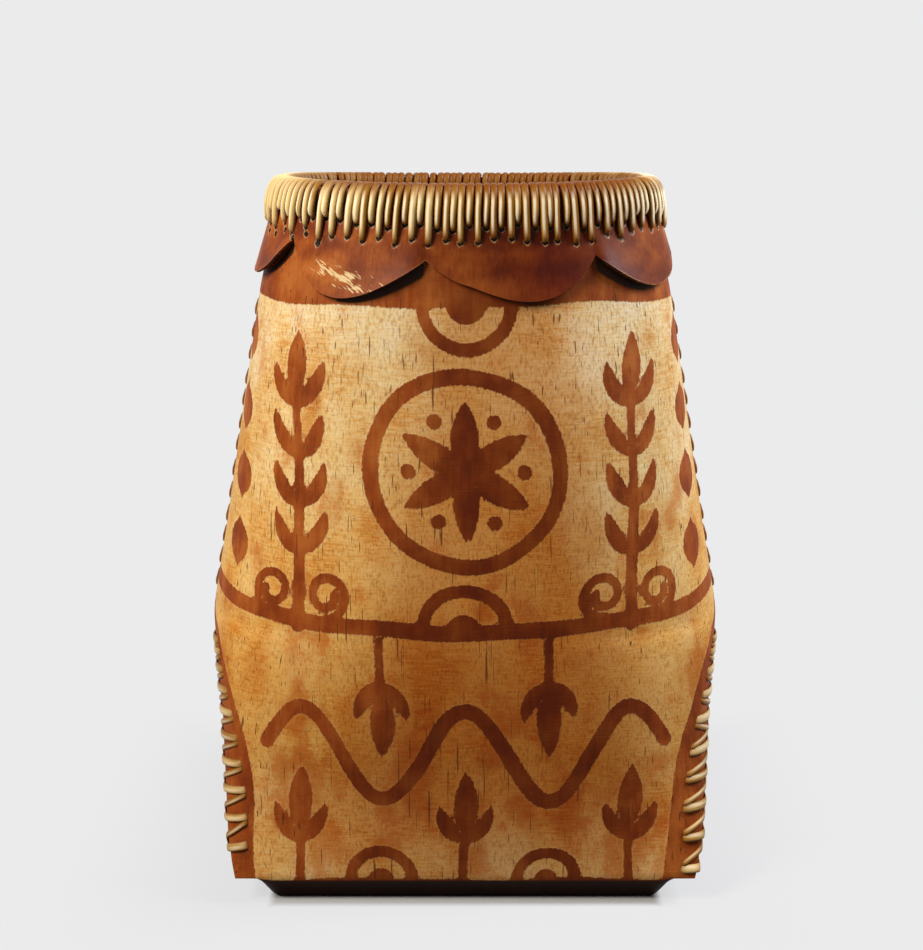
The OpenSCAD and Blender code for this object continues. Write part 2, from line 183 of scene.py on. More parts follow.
# what most nodes of a kind are set to here, and the output that is used
usualSettings = {"Math": {"operation": "MULTIPLY_ADD"}, "Mix": {"data_type": "RGBA"}}
usualOutputs = {"ShaderNodeMix": 2, "ShaderNodeAttribute": "Fac", "ShaderNodeTexCoord": "Object"}


def addNode(tree, kind, values=None, links=None, stops=(), **settings):
    # sockets go by number or name, and a link comes from a node's usual output or from a socket
    node = tree.nodes.new("ShaderNode" + kind)
    for name, value in {**usualSettings.get(kind, {}), **settings}.items():
        setattr(node, name, value)
    for socket, value in (values or {}).items():
        node.inputs[socket].default_value = value
    for socket, source in (links or {}).items():
        if isinstance(source, bpy.types.Node):
            source = source.outputs[usualOutputs.get(source.bl_idname, 0)]
        tree.links.new(source, node.inputs[socket])
    if stops:
        while len(node.color_ramp.elements) < len(stops):
            node.color_ramp.elements.new(1.0)
        for element, (spot, hexText) in zip(node.color_ramp.elements, stops):
            element.position = spot
            element.color = colour(hexText)
    return node


def startMaterial(name, grains, strandMap=None):
    # grains: name of a noise, its blotch size in mm along x, y and z, and its detail
    material = bpy.data.materials.new(name)
    material.use_nodes = True
    tree = material.node_tree
    tree.nodes.clear()
    where = addNode(tree, "UVMap", uv_map=strandMap) if strandMap else addNode(tree, "TexCoord")
    noises = {}
    for grain, (sizes, detail) in grains.items():
        sized = addNode(tree, "Mapping", {"Scale": [1 / (size * mm) for size in sizes]}, {"Vector": where})
        noises[grain] = addNode(tree, "TexNoise", {"Scale": 1.0, "Detail": detail}, {"Vector": sized})
    return material, tree, noises


def layTint(tree, under, hexText, value, low, high, most=1.0, **settings):
    # a tint over a colour: none where the value is at low, most where it is at high
    share = addNode(tree, "MapRange", {"From Min": low, "From Max": high, "To Max": most}, {"Value": value})
    return addNode(tree, "Mix", {7: colour(hexText)}, {0: share, 6: under}, **settings)


def finishMaterial(material, values, links):
    shader = addNode(material.node_tree, "BsdfPrincipled", values, links)
    addNode(material.node_tree, "OutputMaterial", links={"Surface": shader})
    return material


backdrop = {
    "size": 12.0, "seen": "#ebebec", "ambient": 0.07,
    "lit": "#c8c8c8", "bounce": "#686868",  # paper as the camera sees it lit, and as it lights the basket
    "footprint": (0.106, 0.09),             # half the basket's foot in metres
    "darkReach": (1.0, 1.08), "softReach": (1.0, 2.4), "softShare": 0.22,  # its shadow, in footprints
}
bpy.ops.mesh.primitive_plane_add(size=backdrop["size"])
floor = bpy.context.object
floor.name = "paleFloor"


def backdropRays(tree):  # rays that show the backdrop: the camera's, and those by way of gloss or glass
    rays = addNode(tree, "LightPath").outputs
    direct = addNode(tree, "Math", links={0: rays["Is Camera Ray"], 1: rays["Is Glossy Ray"]},
                     operation="ADD")
    return addNode(tree, "Math", links={0: direct, 1: rays["Is Transmission Ray"]},
                   operation="ADD", use_clamp=True)


def makeFloor():
    # Seamless white paper: it takes a soft shadow near the basket and fades to the backdrop
    material, tree = startMaterial("seamlessPaper", {})[:2]
    wide, deep = backdrop["footprint"]
    reach = addNode(tree, "VectorMath", {1: (1 / wide, 1 / deep, 0)}, {0: addNode(tree, "TexCoord")},
                    operation="MULTIPLY")
    reach = addNode(tree, "VectorMath", links={0: reach}, operation="ABSOLUTE")
    reach = addNode(tree, "SeparateXYZ", links={0: reach}).outputs
    reach = addNode(tree, "Math", links={0: reach["X"], 1: reach["Y"]}, operation="MAXIMUM")
    shades = []
    for (near, far), most in ((backdrop["darkReach"], 1.0), (backdrop["softReach"], backdrop["softShare"])):
        shades.append(addNode(tree, "MapRange", {"From Min": near, "From Max": far, "To Min": 1 - most},
                              {"Value": reach}, interpolation_type="SMOOTHSTEP"))
    plain = addNode(tree, "Math", links={0: shades[0], 1: shades[1]}, operation="MINIMUM")
    share = addNode(tree, "Math", links={0: backdropRays(tree), 1: plain}, operation="MULTIPLY")
    glow = addNode(tree, "Emission", {"Color": colour(backdrop["seen"])})
    tone = addNode(tree, "Mix", {6: colour(backdrop["bounce"]), 7: colour(backdrop["lit"])},
                   {0: addNode(tree, "LightPath").outputs["Is Camera Ray"]})
    paper = addNode(tree, "BsdfPrincipled", {"Roughness": 0.9, "Specular IOR Level": 0.1},
                    {"Base Color": tone})
    paper = addNode(tree, "MixShader", links={0: share, 1: paper, 2: glow})
    addNode(tree, "OutputMaterial", links={"Surface": paper})
    return material


def makeWorld():
    world = bpy.data.worlds.new("studio")
    world.use_nodes = True
    tree = world.node_tree
    tree.nodes.clear()
    ambient = addNode(tree, "Background", {"Color": colour("#ffffff"), "Strength": backdrop["ambient"]})
    shown = addNode(tree, "Background", {"Color": colour(backdrop["seen"])})
    sky = addNode(tree, "MixShader", links={0: backdropRays(tree), 1: ambient, 2: shown})
    addNode(tree, "OutputWorld", links={"Surface": sky})
    return world


floor.data.materials.append(makeFloor())
bpy.context.scene.world = makeWorld()


print("stage 2: materials")
faintShine = 0.12  # specular level of bark and wood that are dull with age


def makeScrapedBark():
    # Winter birch bark, inner side out: a dark red-brown rind, scraped away to a pale mottled
    # golden ground. Fibres fray the edges of the scraping and upright pores mark it all over.
    material, tree, grain = startMaterial("scrapedWinterBark", {
        "fray": ((1.2, 1.2, 2.4), 3), "patches": ((34, 34, 46), 3), "streaks": ((9, 9, 1.0), 3),
        "stains": ((20, 20, 30), 5), "flecks": ((1.2, 1.2, 3.0), 4),
        "pores": ((1.25, 1.25, 40), 1), "ticks": ((4.5, 4.5, 0.9), 1),
        "rind": ((2.6, 2.6, 30), 4), "clouds": ((16, 16, 22), 4), "rubbed": ((5, 5, 6), 3),
    })
    axes = addNode(tree, "SeparateXYZ", links={0: addNode(tree, "TexCoord")}).outputs
    scraped = addNode(tree, "Attribute", attribute_name="scrape")
    fray = addNode(tree, "Math", {1: 0.5}, {0: grain["fray"]}, operation="SUBTRACT")
    edge = addNode(tree, "Math", {1: 2.2}, {0: fray, 2: scraped})
    pale = addNode(tree, "MapRange", {"From Min": -0.4, "From Max": 0.4}, {"Value": edge},
                   interpolation_type="SMOOTHSTEP")
    # pale ground: large patches, level scrape streaks, then small flecks
    blotch = addNode(tree, "Math", {1: 0.5}, {0: grain["streaks"], 2: grain["patches"]})
    ground = addNode(tree, "ValToRGB", links={"Fac": blotch},
                     stops=[(0.56, "#dcaa64"), (0.66, "#e8c68c"), (0.77, "#eed7a8"), (0.9, "#f3e4c4")])
    tint = addNode(tree, "ValToRGB", links={"Fac": grain["flecks"]},
                   stops=[(0.34, "#bd8a52"), (0.5, "#f6ead4"), (0.64, "#fffdf8")])
    ground = addNode(tree, "Mix", {0: 0.55}, {6: ground, 7: tint}, blend_type="MULTIPLY")
    # red-brown stains with ragged edges, where a little of the rind was left on, most of them low down
    ragged = addNode(tree, "Math", {1: 0.6}, {0: grain["flecks"], 2: grain["stains"]})
    ragged = addNode(tree, "Math", {1: -0.5}, {0: axes["Z"], 2: ragged})
    ground = layTint(tree, ground, "#d89a5c", ragged, 0.76, 0.865, 0.75, blend_type="MULTIPLY")
    # dark rind: soft clouds and faint upright streaks, rubbed thin in specks
    streak = addNode(tree, "Math", {1: 0.3}, {0: grain["rind"], 2: grain["clouds"]})
    rind = addNode(tree, "ValToRGB", links={"Fac": streak},
                   stops=[(0.48, "#7c360d"), (0.64, "#954817"), (0.82, "#ab6028")])
    rind = layTint(tree, rind, "#b9773c", grain["rubbed"], 0.62, 0.78, 0.35)
    bark = addNode(tree, "Mix", links={0: pale, 6: rind, 7: ground})
    # a pale knife line just outside each dark shape, broken by the fibres
    near = addNode(tree, "MapRange", {"From Min": 0.3, "From Max": 1.2, "To Min": 0.22, "To Max": 0.0},
                   {"Value": edge})
    line = addNode(tree, "Math", links={0: near, 1: pale}, operation="MULTIPLY")
    bark = addNode(tree, "Mix", {7: colour("#e9cf9c")}, {0: line, 6: bark})
    # painted light and shade by height: darker low on the field, lighter towards the top, the ground more
    # so than the rind
    height = addNode(tree, "MapRange", {"From Min": 0.02, "From Max": 0.34}, {"Value": axes["Z"]})
    heightShade = addNode(tree, "ValToRGB", links={"Fac": height},
                  stops=[(0.0, "#ffeac4"), (0.08, "#f8d8aa"), (0.2, "#e2be84"), (0.34, "#eac486"),
                         (0.5, "#fbdda6"), (0.72, "#fdf0d4"), (1.0, "#fbf9f5")])
    heightShadeShare = addNode(tree, "MapRange", {"To Min": 0.4}, {"Value": pale})
    bark = addNode(tree, "Mix", links={0: heightShadeShare, 6: bark, 7: heightShade}, blend_type="MULTIPLY")
    # painted shade: the middle of each wall darker than its sides, widest low down, thinner at the foot
    aside = addNode(tree, "Math", {1: 0.02}, {0: axes["X"]}, operation="SUBTRACT")
    aside = addNode(tree, "Math", links={0: aside}, operation="ABSOLUTE")
    aside = addNode(tree, "Math", {1: 0.06}, {0: grain["stains"], 2: aside})
    aside = addNode(tree, "Math", {1: 0.16}, {0: axes["Z"], 2: aside})
    middleShade = addNode(tree, "MapRange", {"From Min": 0.095, "From Max": 0.145, "To Min": 0.9, "To Max": 0.0},
                    {"Value": aside}, interpolation_type="SMOOTHSTEP")
    foot = addNode(tree, "MapRange", {"From Min": 0.02, "From Max": 0.07, "To Min": 0.6},
                   {"Value": axes["Z"]})
    middleShade = addNode(tree, "Math", links={0: middleShade, 1: foot}, operation="MULTIPLY")
    shadeTint = addNode(tree, "Mix", {6: colour("#b0966c"), 7: colour("#d4ac7e")}, {0: pale})
    bark = addNode(tree, "Mix", links={0: middleShade, 6: bark, 7: shadeTint}, blend_type="MULTIPLY")
    # long fine pores, crossed by short level ticks
    bark = layTint(tree, bark, "#5a2d10", grain["pores"], 0.675, 0.725, 0.85)
    bark = layTint(tree, bark, "#5a2d10", grain["ticks"], 0.7, 0.79, 0.45)
    # painted shade on the underside and along the folds, and painted shadows under the collar's lifted
    # edges
    dirtAndShade = addNode(tree, "Attribute", attribute_name="dirtAndShade")
    bark = layTint(tree, bark, "#0e0602", dirtAndShade, 0.1, 0.5, 0.96)
    rough = addNode(tree, "MapRange", {"To Min": 0.5, "To Max": 0.7}, {"Value": grain["flecks"]})
    relief = addNode(tree, "Math", {1: -0.8}, {0: pale, 2: grain["streaks"]})
    bump = addNode(tree, "Bump", {"Strength": 0.3, "Distance": 0.0004}, {"Height": relief})
    return finishMaterial(material, {"Specular IOR Level": faintShine},
                          {"Base Color": bark, "Roughness": rough, "Normal": bump})


def makePaperBark():
    # The outer side of the sheet, which faces inwards: papery and pale, with dark upright pores
    material, tree, grain = startMaterial("paperyBark", {
        "clouds": ((30, 30, 40), 3), "layers": ((22, 22, 2.0), 3), "pores": ((1.8, 1.8, 16), 1),
    })
    blotch = addNode(tree, "Math", {1: 0.5}, {0: grain["layers"], 2: grain["clouds"]})
    ground = addNode(tree, "ValToRGB", links={"Fac": blotch},
                     stops=[(0.55, "#9c7748"), (0.72, "#bf9a69"), (0.9, "#d8be95")])
    bark = layTint(tree, ground, "#5c3d22", grain["pores"], 0.64, 0.7, 0.7)
    bump = addNode(tree, "Bump", {"Strength": 0.3, "Distance": 0.0004}, {"Height": grain["layers"]})
    return finishMaterial(material, {"Roughness": 0.7}, {"Base Color": bark, "Normal": bump})


def makeCollarBark():
    # Unscraped inner bark: waxy dark red-brown with faint upright streaks, rubbed lighter in
    # places, flaked to the pale under-layer in one, with torn burrs round the awl holes.
    material, tree, grain = startMaterial("darkRindBark", {
        "clouds": ((26, 26, 20), 3), "streaks": ((1.6, 1.6, 12), 4), "specks": ((1.1, 1.1, 1.4), 2),
        "tear": ((0.7, 0.7, 0.7), 2),
    })
    tone = addNode(tree, "Math", {1: 0.3}, {0: grain["streaks"], 2: grain["clouds"]})
    bark = addNode(tree, "ValToRGB", links={"Fac": tone},
                   stops=[(0.5, "#692a08"), (0.6, "#80380c"), (0.7, "#984c16"), (0.84, "#b46628")])
    # rubbed specks, then dark upright scuffs
    bark = layTint(tree, bark, "#b06c3c", grain["specks"], 0.66, 0.74, 0.4)
    bark = layTint(tree, bark, "#4e1e06", grain["streaks"], 0.58, 0.7, 0.5)
    # painted shade, darker from the middle to the right
    middleShade = addNode(tree, "Attribute", attribute_name="middleShade")
    bark = addNode(tree, "Mix", {7: colour("#95693d")}, {0: middleShade, 6: bark}, blend_type="MULTIPLY")
    # torn flakes: ragged slanting strokes inside the patch
    slant = addNode(tree, "Mapping",
                    {"Rotation": (0, math.radians(36), 0), "Scale": (7 * mm, 7 * mm, 1.2 * mm)},
                    {"Vector": addNode(tree, "TexCoord")}, vector_type="TEXTURE")
    strokes = addNode(tree, "TexNoise", {"Scale": 1.0, "Detail": 3.0}, {"Vector": slant})
    flaked = addNode(tree, "Attribute", attribute_name="flake")
    flaked = addNode(tree, "Math", {1: 0.3}, {0: flaked, 2: strokes})
    bark = layTint(tree, bark, "#dfc08c", flaked, 0.68, 0.74)
    # a painted highlight along the lower brink of each scallop, broken in places
    brinkHighlight = addNode(tree, "Attribute", attribute_name="brinkHighlight")
    brinkHighlight = addNode(tree, "Math", {1: 2.0}, {0: grain["tear"], 2: brinkHighlight})
    brinkHighlight = addNode(tree, "Math", {1: 5.0}, {0: grain["clouds"], 2: brinkHighlight})
    bark = layTint(tree, bark, "#c08a52", brinkHighlight, 3.7, 2.9, 0.45)
    # a pale burr of torn bark round each awl hole, and painted shade inside it
    hole = addNode(tree, "Attribute", attribute_name="hole")
    burr = addNode(tree, "Math", {1: 1.6}, {0: grain["tear"], 2: hole})
    bark = layTint(tree, bark, "#cf9f66", burr, 1.3, 1.0, 0.75)
    # painted shade inside the hole
    bark = layTint(tree, bark, "#140905", hole, 0.25, -0.15)
    rough = addNode(tree, "MapRange", {"To Min": 0.4, "To Max": 0.6}, {"Value": grain["clouds"]})
    bump = addNode(tree, "Bump", {"Strength": 0.25, "Distance": 0.0004}, {"Height": tone})
    return finishMaterial(material, {"Specular IOR Level": faintShine},
                          {"Base Color": bark, "Roughness": rough, "Normal": bump})


def makeCutEdge():
    # Knife-cut edge of the bark: thin dark and tan layers
    material, tree, grain = startMaterial("cutBarkEdge", {"layers": ((5, 5, 0.8), 2)})
    edge = addNode(tree, "ValToRGB", links={"Fac": grain["layers"]},
                   stops=[(0.4, "#2f1408"), (0.55, "#4c2510"), (0.7, "#7a4a24")])
    return finishMaterial(material, {"Roughness": 0.75, "Specular IOR Level": faintShine},
                          {"Base Color": edge})


def makeSplitRoot():
    # Peeled, split conifer root: golden brown with fine lengthwise fibres, with a painted highlight
    # along its crest. Each strand has its own tone, painted shade along its sides, and dirt and painted
    # shade at its ends and over the rim.
    material, tree, grain = startMaterial("peeledSplitRoot", {
        "fibres": ((0.5, 14, 1), 2), "stains": ((3, 24, 1), 3),
    }, strandMap="strand")
    tone = addNode(tree, "Attribute", attribute_name="tone")
    dirtAndShade = addNode(tree, "Attribute", attribute_name="dirtAndShade")
    crest = addNode(tree, "Attribute", attribute_name="crest")
    fibre = addNode(tree, "Math", {1: 0.5}, {0: grain["fibres"], 2: tone})
    fibre = addNode(tree, "Math", {1: 0.5}, {0: grain["stains"], 2: fibre})
    root = addNode(tree, "ValToRGB", links={"Fac": fibre},
                   stops=[(0.3, "#7c4a0c"), (0.55, "#98651b"), (0.8, "#b58738"), (1.0, "#eccb88")])
    # painted highlight along the crest, only where a strand is free of dirt and painted shade
    paintedHighlight = addNode(tree, "MapRange", {"From Min": 0.8, "From Max": 0.985, "To Max": 0.95},
                     {"Value": crest}, interpolation_type="SMOOTHSTEP")
    unshaded = addNode(tree, "MapRange", {"From Min": 0.5, "From Max": 0.05}, {"Value": dirtAndShade})
    paintedHighlight = addNode(tree, "Math", links={0: paintedHighlight, 1: unshaded}, operation="MULTIPLY")
    root = addNode(tree, "Mix", {7: colour("#fff0cc")}, {0: paintedHighlight, 6: root})
    # painted shade along its sides, the more the darker a strand
    sideShadeMost = addNode(tree, "Math", {1: -0.75, 2: 0.98}, {0: tone})
    sides = addNode(tree, "MapRange", {"From Min": 0.75, "From Max": 0.15},
                    {"Value": crest, "To Max": sideShadeMost})
    root = addNode(tree, "Mix", {7: colour("#5c2c02")}, {0: sides, 6: root})
    # dirt and painted shade, set along each strand
    root = addNode(tree, "Mix", {7: colour("#723a03")}, {0: dirtAndShade, 6: root})
    rough = addNode(tree, "MapRange", {"To Min": 0.28, "To Max": 0.45}, {"Value": grain["fibres"]})
    bump = addNode(tree, "Bump", {"Strength": 0.25, "Distance": 0.0002}, {"Height": grain["fibres"]})
    return finishMaterial(material, {"IOR": 1.5, "Specular IOR Level": faintShine},
                          {"Base Color": root, "Roughness": rough, "Normal": bump})


def makeHoopWood():
    # Split and shaved hoop wood, dark with age and darker still as painted shade for the gaps between the
    # strands, with its grain running round the rim
    material, tree, grain = startMaterial("agedAndShadedHoopWood", {"grain": ((24, 24, 1.2), 3)})
    wood = addNode(tree, "ValToRGB", links={"Fac": grain["grain"]},
                   stops=[(0.35, "#341404"), (0.55, "#4c2308"), (0.7, "#64340e")])
    return finishMaterial(material, {"Roughness": 0.65, "Specular IOR Level": faintShine},
                          {"Base Color": wood})


scrapedBark = makeScrapedBark()
paperBark = makePaperBark()
collarBark = makeCollarBark()
cutEdge = makeCutEdge()
splitRoot = makeSplitRoot()
hoopWood = makeHoopWood()


print("stage 3: bark body")
sheetCrease, strandCrease = 40, 50  # edges that turn by more degrees stay sharp
collar = {  # angles go round the mouth from the front, and its scallops also mark the body
    "columnsPerScallop": 62, "leastColumns": 12, "rows": 46, "slit": 0.05,
    # angles of the notches between the scallops, and how far they lie below the rim's top
    "frontCusps": (-97.5, -52.5, -7.5, 33.5, 82.5, 127.5),
    "frontNotches": (32, 27, 36.4, 34.5, 36, 36),
    "backCusps": (82.5, 127.5, 172.5, 217.5, 262.5, 307.5),
    "backNotches": (36, 35, 36.5, 36, 36, 36),
    # each scallop's drop, and how far its left end, its middle and its right end curl off, in mm
    "front": [(47, 0.0, 0.5, 5.0), (56.4, 0.2, 0.5, 6.0), (57.6, 0.1, 1.2, 0.2),
              (52, 6.0, 0.6, 0.4), (46, 0.5, 0.5, 0.5)],
    "back": [(54, 0.5, 0.8, 3.6), (57, 0.3, 0.6, 2.4), (56, 0.2, 1.6, 3.4),
             (53, 0.4, 0.8, 0.5), (41, 0.2, 0.2, 0.2)],
    "curlPower": 2.6, "curlStop": 14,  # a curl grows downwards, and ends at the notch
    # the whole strip stands off from here down, and more at the basket's sides
    "flareStart": 16.0, "flareMiddle": 0.3, "flareEnd": 0.8, "flareSides": 2.2, "flarePower": 1.3,
    "flakeAngle": -30.0, "flakeHeight": 351.0, "flakeWide": 30.0, "flakeHigh": 7.5, "flakeSlope": 0.3,
    # painted shade over the front strip: the angle where it is darkest, and its spread
    "shadeAngle": 22.0, "shadeWide": 32.0,
    "holeWide": 1.75, "holeHigh": 1.65, "holeBelow": 0.9, "holeDeep": 1.1, "holeTaper": 0.28,
    "holeWall": 0.6, "holeBrink": 0.2,  # how far its side slopes, inside and outside its edge
    "noHole": 9.0,                      # distance to a hole where none is near
}


def scallopDrop(share, drop, left, right):  # how far a scallop's edge hangs below the rim's top
    notch = mix(left, right, share)
    return notch + (drop - notch) * (1 - np.abs(2 * share - 1) ** 2)


def fillAttribute(piece, name, values):
    layer = piece.data.attributes.new(name, "FLOAT", "POINT")
    layer.data.foreach_set("value", np.ascontiguousarray(values, dtype=np.float32).ravel())


def makeSheet(name, points, thick, materials, attributes):
    # a grid bent to rows of points in mm, faces outwards, given its thickness inwards;
    # materials are for the outside, the inside and the cut edge
    rows, columns = points.shape[:2]
    bpy.ops.object.select_all(action="DESELECT")
    bpy.ops.mesh.primitive_grid_add(x_subdivisions=columns - 1, y_subdivisions=rows - 1, size=1)
    piece = bpy.context.object
    piece.name = piece.data.name = name
    piece.data.vertices.foreach_set("co", (points * mm).astype(np.float32).ravel())
    for key, values in attributes.items():
        fillAttribute(piece, key, values)
    for material in materials:
        piece.data.materials.append(material)
    solid = piece.modifiers.new("thickness", "SOLIDIFY")
    solid.thickness = thick * mm
    solid.offset = -1
    solid.material_offset = 1
    solid.material_offset_rim = 2
    bpy.ops.object.modifier_apply(modifier=solid.name)
    bpy.ops.object.shade_smooth_by_angle(angle=math.radians(sheetCrease))
    return piece


def place(piece, node):
    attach(piece, "root")
    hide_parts(node)


# The scraped ornament: a flower in a ring between leafy sprigs, over a running vine, in mm
design = {
    "bandEdge": 336.5, "bandWaves": [(0.9, 0.03, 0, 0)],  # the unscraped band under the collar
    "foldEdge": 0.9,
    "marginHeights": (16, 30, 53, 74, 95, 119, 148, 165, 175),
    "margin": (13, 16, 22, 27, 30, 31, 31, 16, 11),  # dark strips along the seams
    "marginRight": 4.0, "marginEase": 40.0,          # and how much wider the lower ones are at the right
    # the hand wavers sideways and upwards
    "sideWaves": [(0.8, 0, 0.047, 0.6), (0.5, 0.11, 0.083, 0)],
    "upWaves": [(0.7, 0.052, 0, 1.1), (0.5, 0.094, -0.061, 0)],
    "divider": 162.0, "dividerLift": 13.0, "dividerHalf": 4.6, "dividerReach": 190.0,
    "flowerHeight": 250.0, "petals": 6, "petalLong": 39.0, "petalHalf": 7.4,
    "ringRadius": 51.0, "lineHalf": 4.3, "dotReach": 31.0, "dotHalf": 4.2,
    "sunRadius": 23.0, "sunHalf": 3.6, "sunHeart": 10.0, "sunLap": 1.0,
    "sprigPlace": 93.0, "sprigTip": 290.0, "sprigHalves": (4.0, 2.6),
    "tipLong": 36.0, "tipHalf": 6.4, "tipLap": 3.0,
    "leafPairs": 4, "leafLow": 202.0, "leafHigh": 282.0,
    "leafLong": 30.0, "leafHalf": 4.9, "leafTurn": 62.0, "leafDroop": 30.0,
    "scrollPlace": 17.0, "scrollLift": 5.0, "scrollRadius": 13.0, "scrollHalf": 2.7,
    "scrollTurn": 460.0, "scrollShrink": 0.62,
    "lozengePlace": 143.0, "lozenges": 4, "lozengeLow": 200.0, "lozengeHigh": 314.0,
    "lozengeTall": 15.0, "lozengeHalf": 11.0,
    "vineHeight": 90.0, "vineSwing": 27.0, "vineLong": 92.0, "vineReach": 112.0,
    "budStalk": 30.0, "stalkHalf": 2.6, "budDrop": 6.0, "budLong": 38.0, "budHalf": 7.0,
    # a bud's side leaves, the last two as shares of its middle leaf
    "sideBack": 6.0, "sideTurn": 58.0, "sideDroop": 26.0, "sideLong": 0.72, "sideHalf": 0.66,
    "footSun": 17.0, "footSunHalf": 3.4, "footHeart": 7.0,
}


def stroke(points, halves):  # a drawn line as short pieces with a half width at each end
    points = np.asarray(points, float)
    halves = np.broadcast_to(np.asarray(halves, float), len(points))
    return [(*points[i], halves[i], *points[i + 1], halves[i + 1]) for i in range(len(points) - 1)]


def arc(x, z, radius, start, end, half, count=24):
    turn = np.radians(np.linspace(start, end, count + 1))
    return stroke(np.stack([x + radius * np.cos(turn), z + radius * np.sin(turn)], -1), half)


def sun(x, z, start, radius, half, heart):  # a half ring round a half disc
    return arc(x, z, radius, start, start + 180, half) + arc(x, z, heart / 2, start, start + 180, heart / 2)


def leaf(x, z, angle, long, half, droop=0.0):  # a pointed oval from its foot, fullest past its middle
    t = np.linspace(0, 1, 10)
    turn = np.radians(angle + droop * t)
    spots = np.stack([x + long * t * np.cos(turn), z + long * t * np.sin(turn)], -1)
    return stroke(spots, half * np.sin(np.pi * t ** 0.85) ** 0.85)


def curl(x, z, side):  # a small scroll that rolls up from its foot
    t = np.linspace(0, 1, 22)
    turn = np.radians(-90 + design["scrollTurn"] * t)
    radius = design["scrollRadius"]
    reach = radius * (1 - design["scrollShrink"] * t)
    spots = np.stack([x + side * reach * np.cos(turn), z + radius + reach * np.sin(turn)], -1)
    return stroke(spots, design["scrollHalf"])


def bud(x, z, way):  # three leaves on a stalk, up or down
    top = z + way * design["budStalk"]
    long, half = design["budLong"], design["budHalf"]
    lines = stroke([[x, z], [x, top]], design["stalkHalf"])
    lines += leaf(x, top, 90 * way, long, half)
    for side in (-1, 1):
        turn = 90 * way - side * way * design["sideTurn"]
        lines += leaf(x, top - way * design["sideBack"], turn, long * design["sideLong"],
                      half * design["sideHalf"], side * way * design["sideDroop"])
    return lines


def drawDesign():
    divider, flower = design["divider"], design["flowerHeight"]
    t = np.linspace(-1, 1, 41)
    bow = np.stack([design["dividerReach"] * t, divider + design["dividerLift"] * t ** 2], -1)
    lines = stroke(bow, design["dividerHalf"])
    # flower in its ring, with a half sun under it and one over it
    lines += arc(0, flower, design["ringRadius"], 0, 360, design["lineHalf"], 48)
    for k in range(design["petals"]):
        turn = 90 + k * 360 / design["petals"]
        lines += leaf(0, flower, turn, design["petalLong"], design["petalHalf"])
        between = np.radians(turn + 180 / design["petals"])
        dot = [design["dotReach"] * np.cos(between), flower + design["dotReach"] * np.sin(between)]
        lines += stroke([dot, dot], design["dotHalf"])
    for z, start in ((divider, 0), (design["bandEdge"], 180)):
        lines += sun(0, z + design["sunLap"], start, design["sunRadius"], design["sunHalf"],
                     design["sunHeart"])
    for side in (-1, 1):
        # leafy sprig on a pair of scrolls
        x, tip = side * design["sprigPlace"], design["sprigTip"]
        lines += stroke([[x, divider], [x, tip]], design["sprigHalves"])
        lines += leaf(x, tip - design["tipLap"], 90, design["tipLong"], design["tipHalf"])
        for way in (-1, 1):
            turn, droop = 90 - way * design["leafTurn"], way * design["leafDroop"]
            for z in np.linspace(design["leafLow"], design["leafHigh"], design["leafPairs"]):
                lines += leaf(x, z, turn, design["leafLong"], design["leafHalf"], droop)
            lines += curl(x + way * design["scrollPlace"], divider + design["scrollLift"], way)
        # column of lozenges beside the seam
        x, tall = side * design["lozengePlace"], design["lozengeTall"]
        for z in np.linspace(design["lozengeLow"], design["lozengeHigh"], design["lozenges"]):
            lines += stroke([[x, z - tall], [x, z], [x, z + tall]], [0, design["lozengeHalf"], 0])
    # running vine with a bud in each hollow, over half suns on the fold
    long = design["vineLong"]
    u = np.linspace(-design["vineReach"], design["vineReach"], 81)
    vine = design["vineHeight"] + design["vineSwing"] * np.cos(2 * np.pi * u / long)
    lines += stroke(np.stack([u, vine], -1), design["lineHalf"])
    for k in range(-2, 3):
        foot, way = (divider - design["budDrop"], -1) if k % 2 else (foldHeight, 1)
        lines += bud(k * long / 2, foot, way)
    for side in (-1, 1):
        lines += sun(side * long / 2, foldHeight, 0, design["footSun"], design["footSunHalf"],
                     design["footHeart"])
    return lines


def scrapeField(u, z, halfLength):  # mm from the nearest dark shape, negative inside it
    drawnU = u + ripple(u, z, design["sideWaves"])
    drawnZ = z + ripple(u, z, design["upWaves"])
    band = design["bandEdge"] + ripple(u, z, design["bandWaves"])
    field = np.minimum(band - drawnZ, drawnZ - foldHeight - design["foldEdge"])
    margin = np.interp(z, design["marginHeights"], design["margin"])
    margin = margin + design["marginRight"] * (u > 0) * ease((shoulderHeight - z) / design["marginEase"])
    field = np.minimum(field, halfLength - np.abs(drawnU) - margin)
    for x0, z0, r0, x1, z1, r1 in drawDesign():
        dx, dz = x1 - x0, z1 - z0
        share = ((drawnU - x0) * dx + (drawnZ - z0) * dz) / max(dx * dx + dz * dz, 1e-6)
        share = np.clip(share, 0, 1)
        gap = np.hypot(drawnU - x0 - share * dx, drawnZ - z0 - share * dz) - mix(r0, r1, share)
        field = np.minimum(field, gap)
    return field


bodySheet = {
    "columns": 132, "wallRows": 164, "baseRows": 40, "evenHeight": 250.0,
    "edgeRows": 0.6,  # over 0, the rows of the base crowd towards its edges
    # the hand-worked sheet is never quite even, except at its edges and under the collar
    "waves": [(0.5, 0.043, 0.02, 0), (0.5, -0.027, 0.031, 1.3)], "waveFade": 40.0, "waveTop": 345.0,
    # painted shade on the underside, most where it rises to the fold, and along the fold rows
    "baseShade": 0.42, "edgeShade": 1.0, "foldShade": 0.34, "edgeRise": 5.0,
    # painted shadows on the wall under the collar's lifted edges: scallop, from its share to its share,
    # width in mm at each end
    "paintedShadows": [(0, 0.55, 1.0, 0.8, 6.4), (1, 0.35, 1.0, 0.8, 7.4), (2, 0.45, 0.85, 0.8, 0.8),
                (3, 0.0, 0.6, 7.4, 0.6)],
    "paintedShadowSoft": 1.5, "paintedShadowEnds": 40.0,  # how softly they end across and along
}
plainRind = -6.0  # scrape value well inside a dark shape


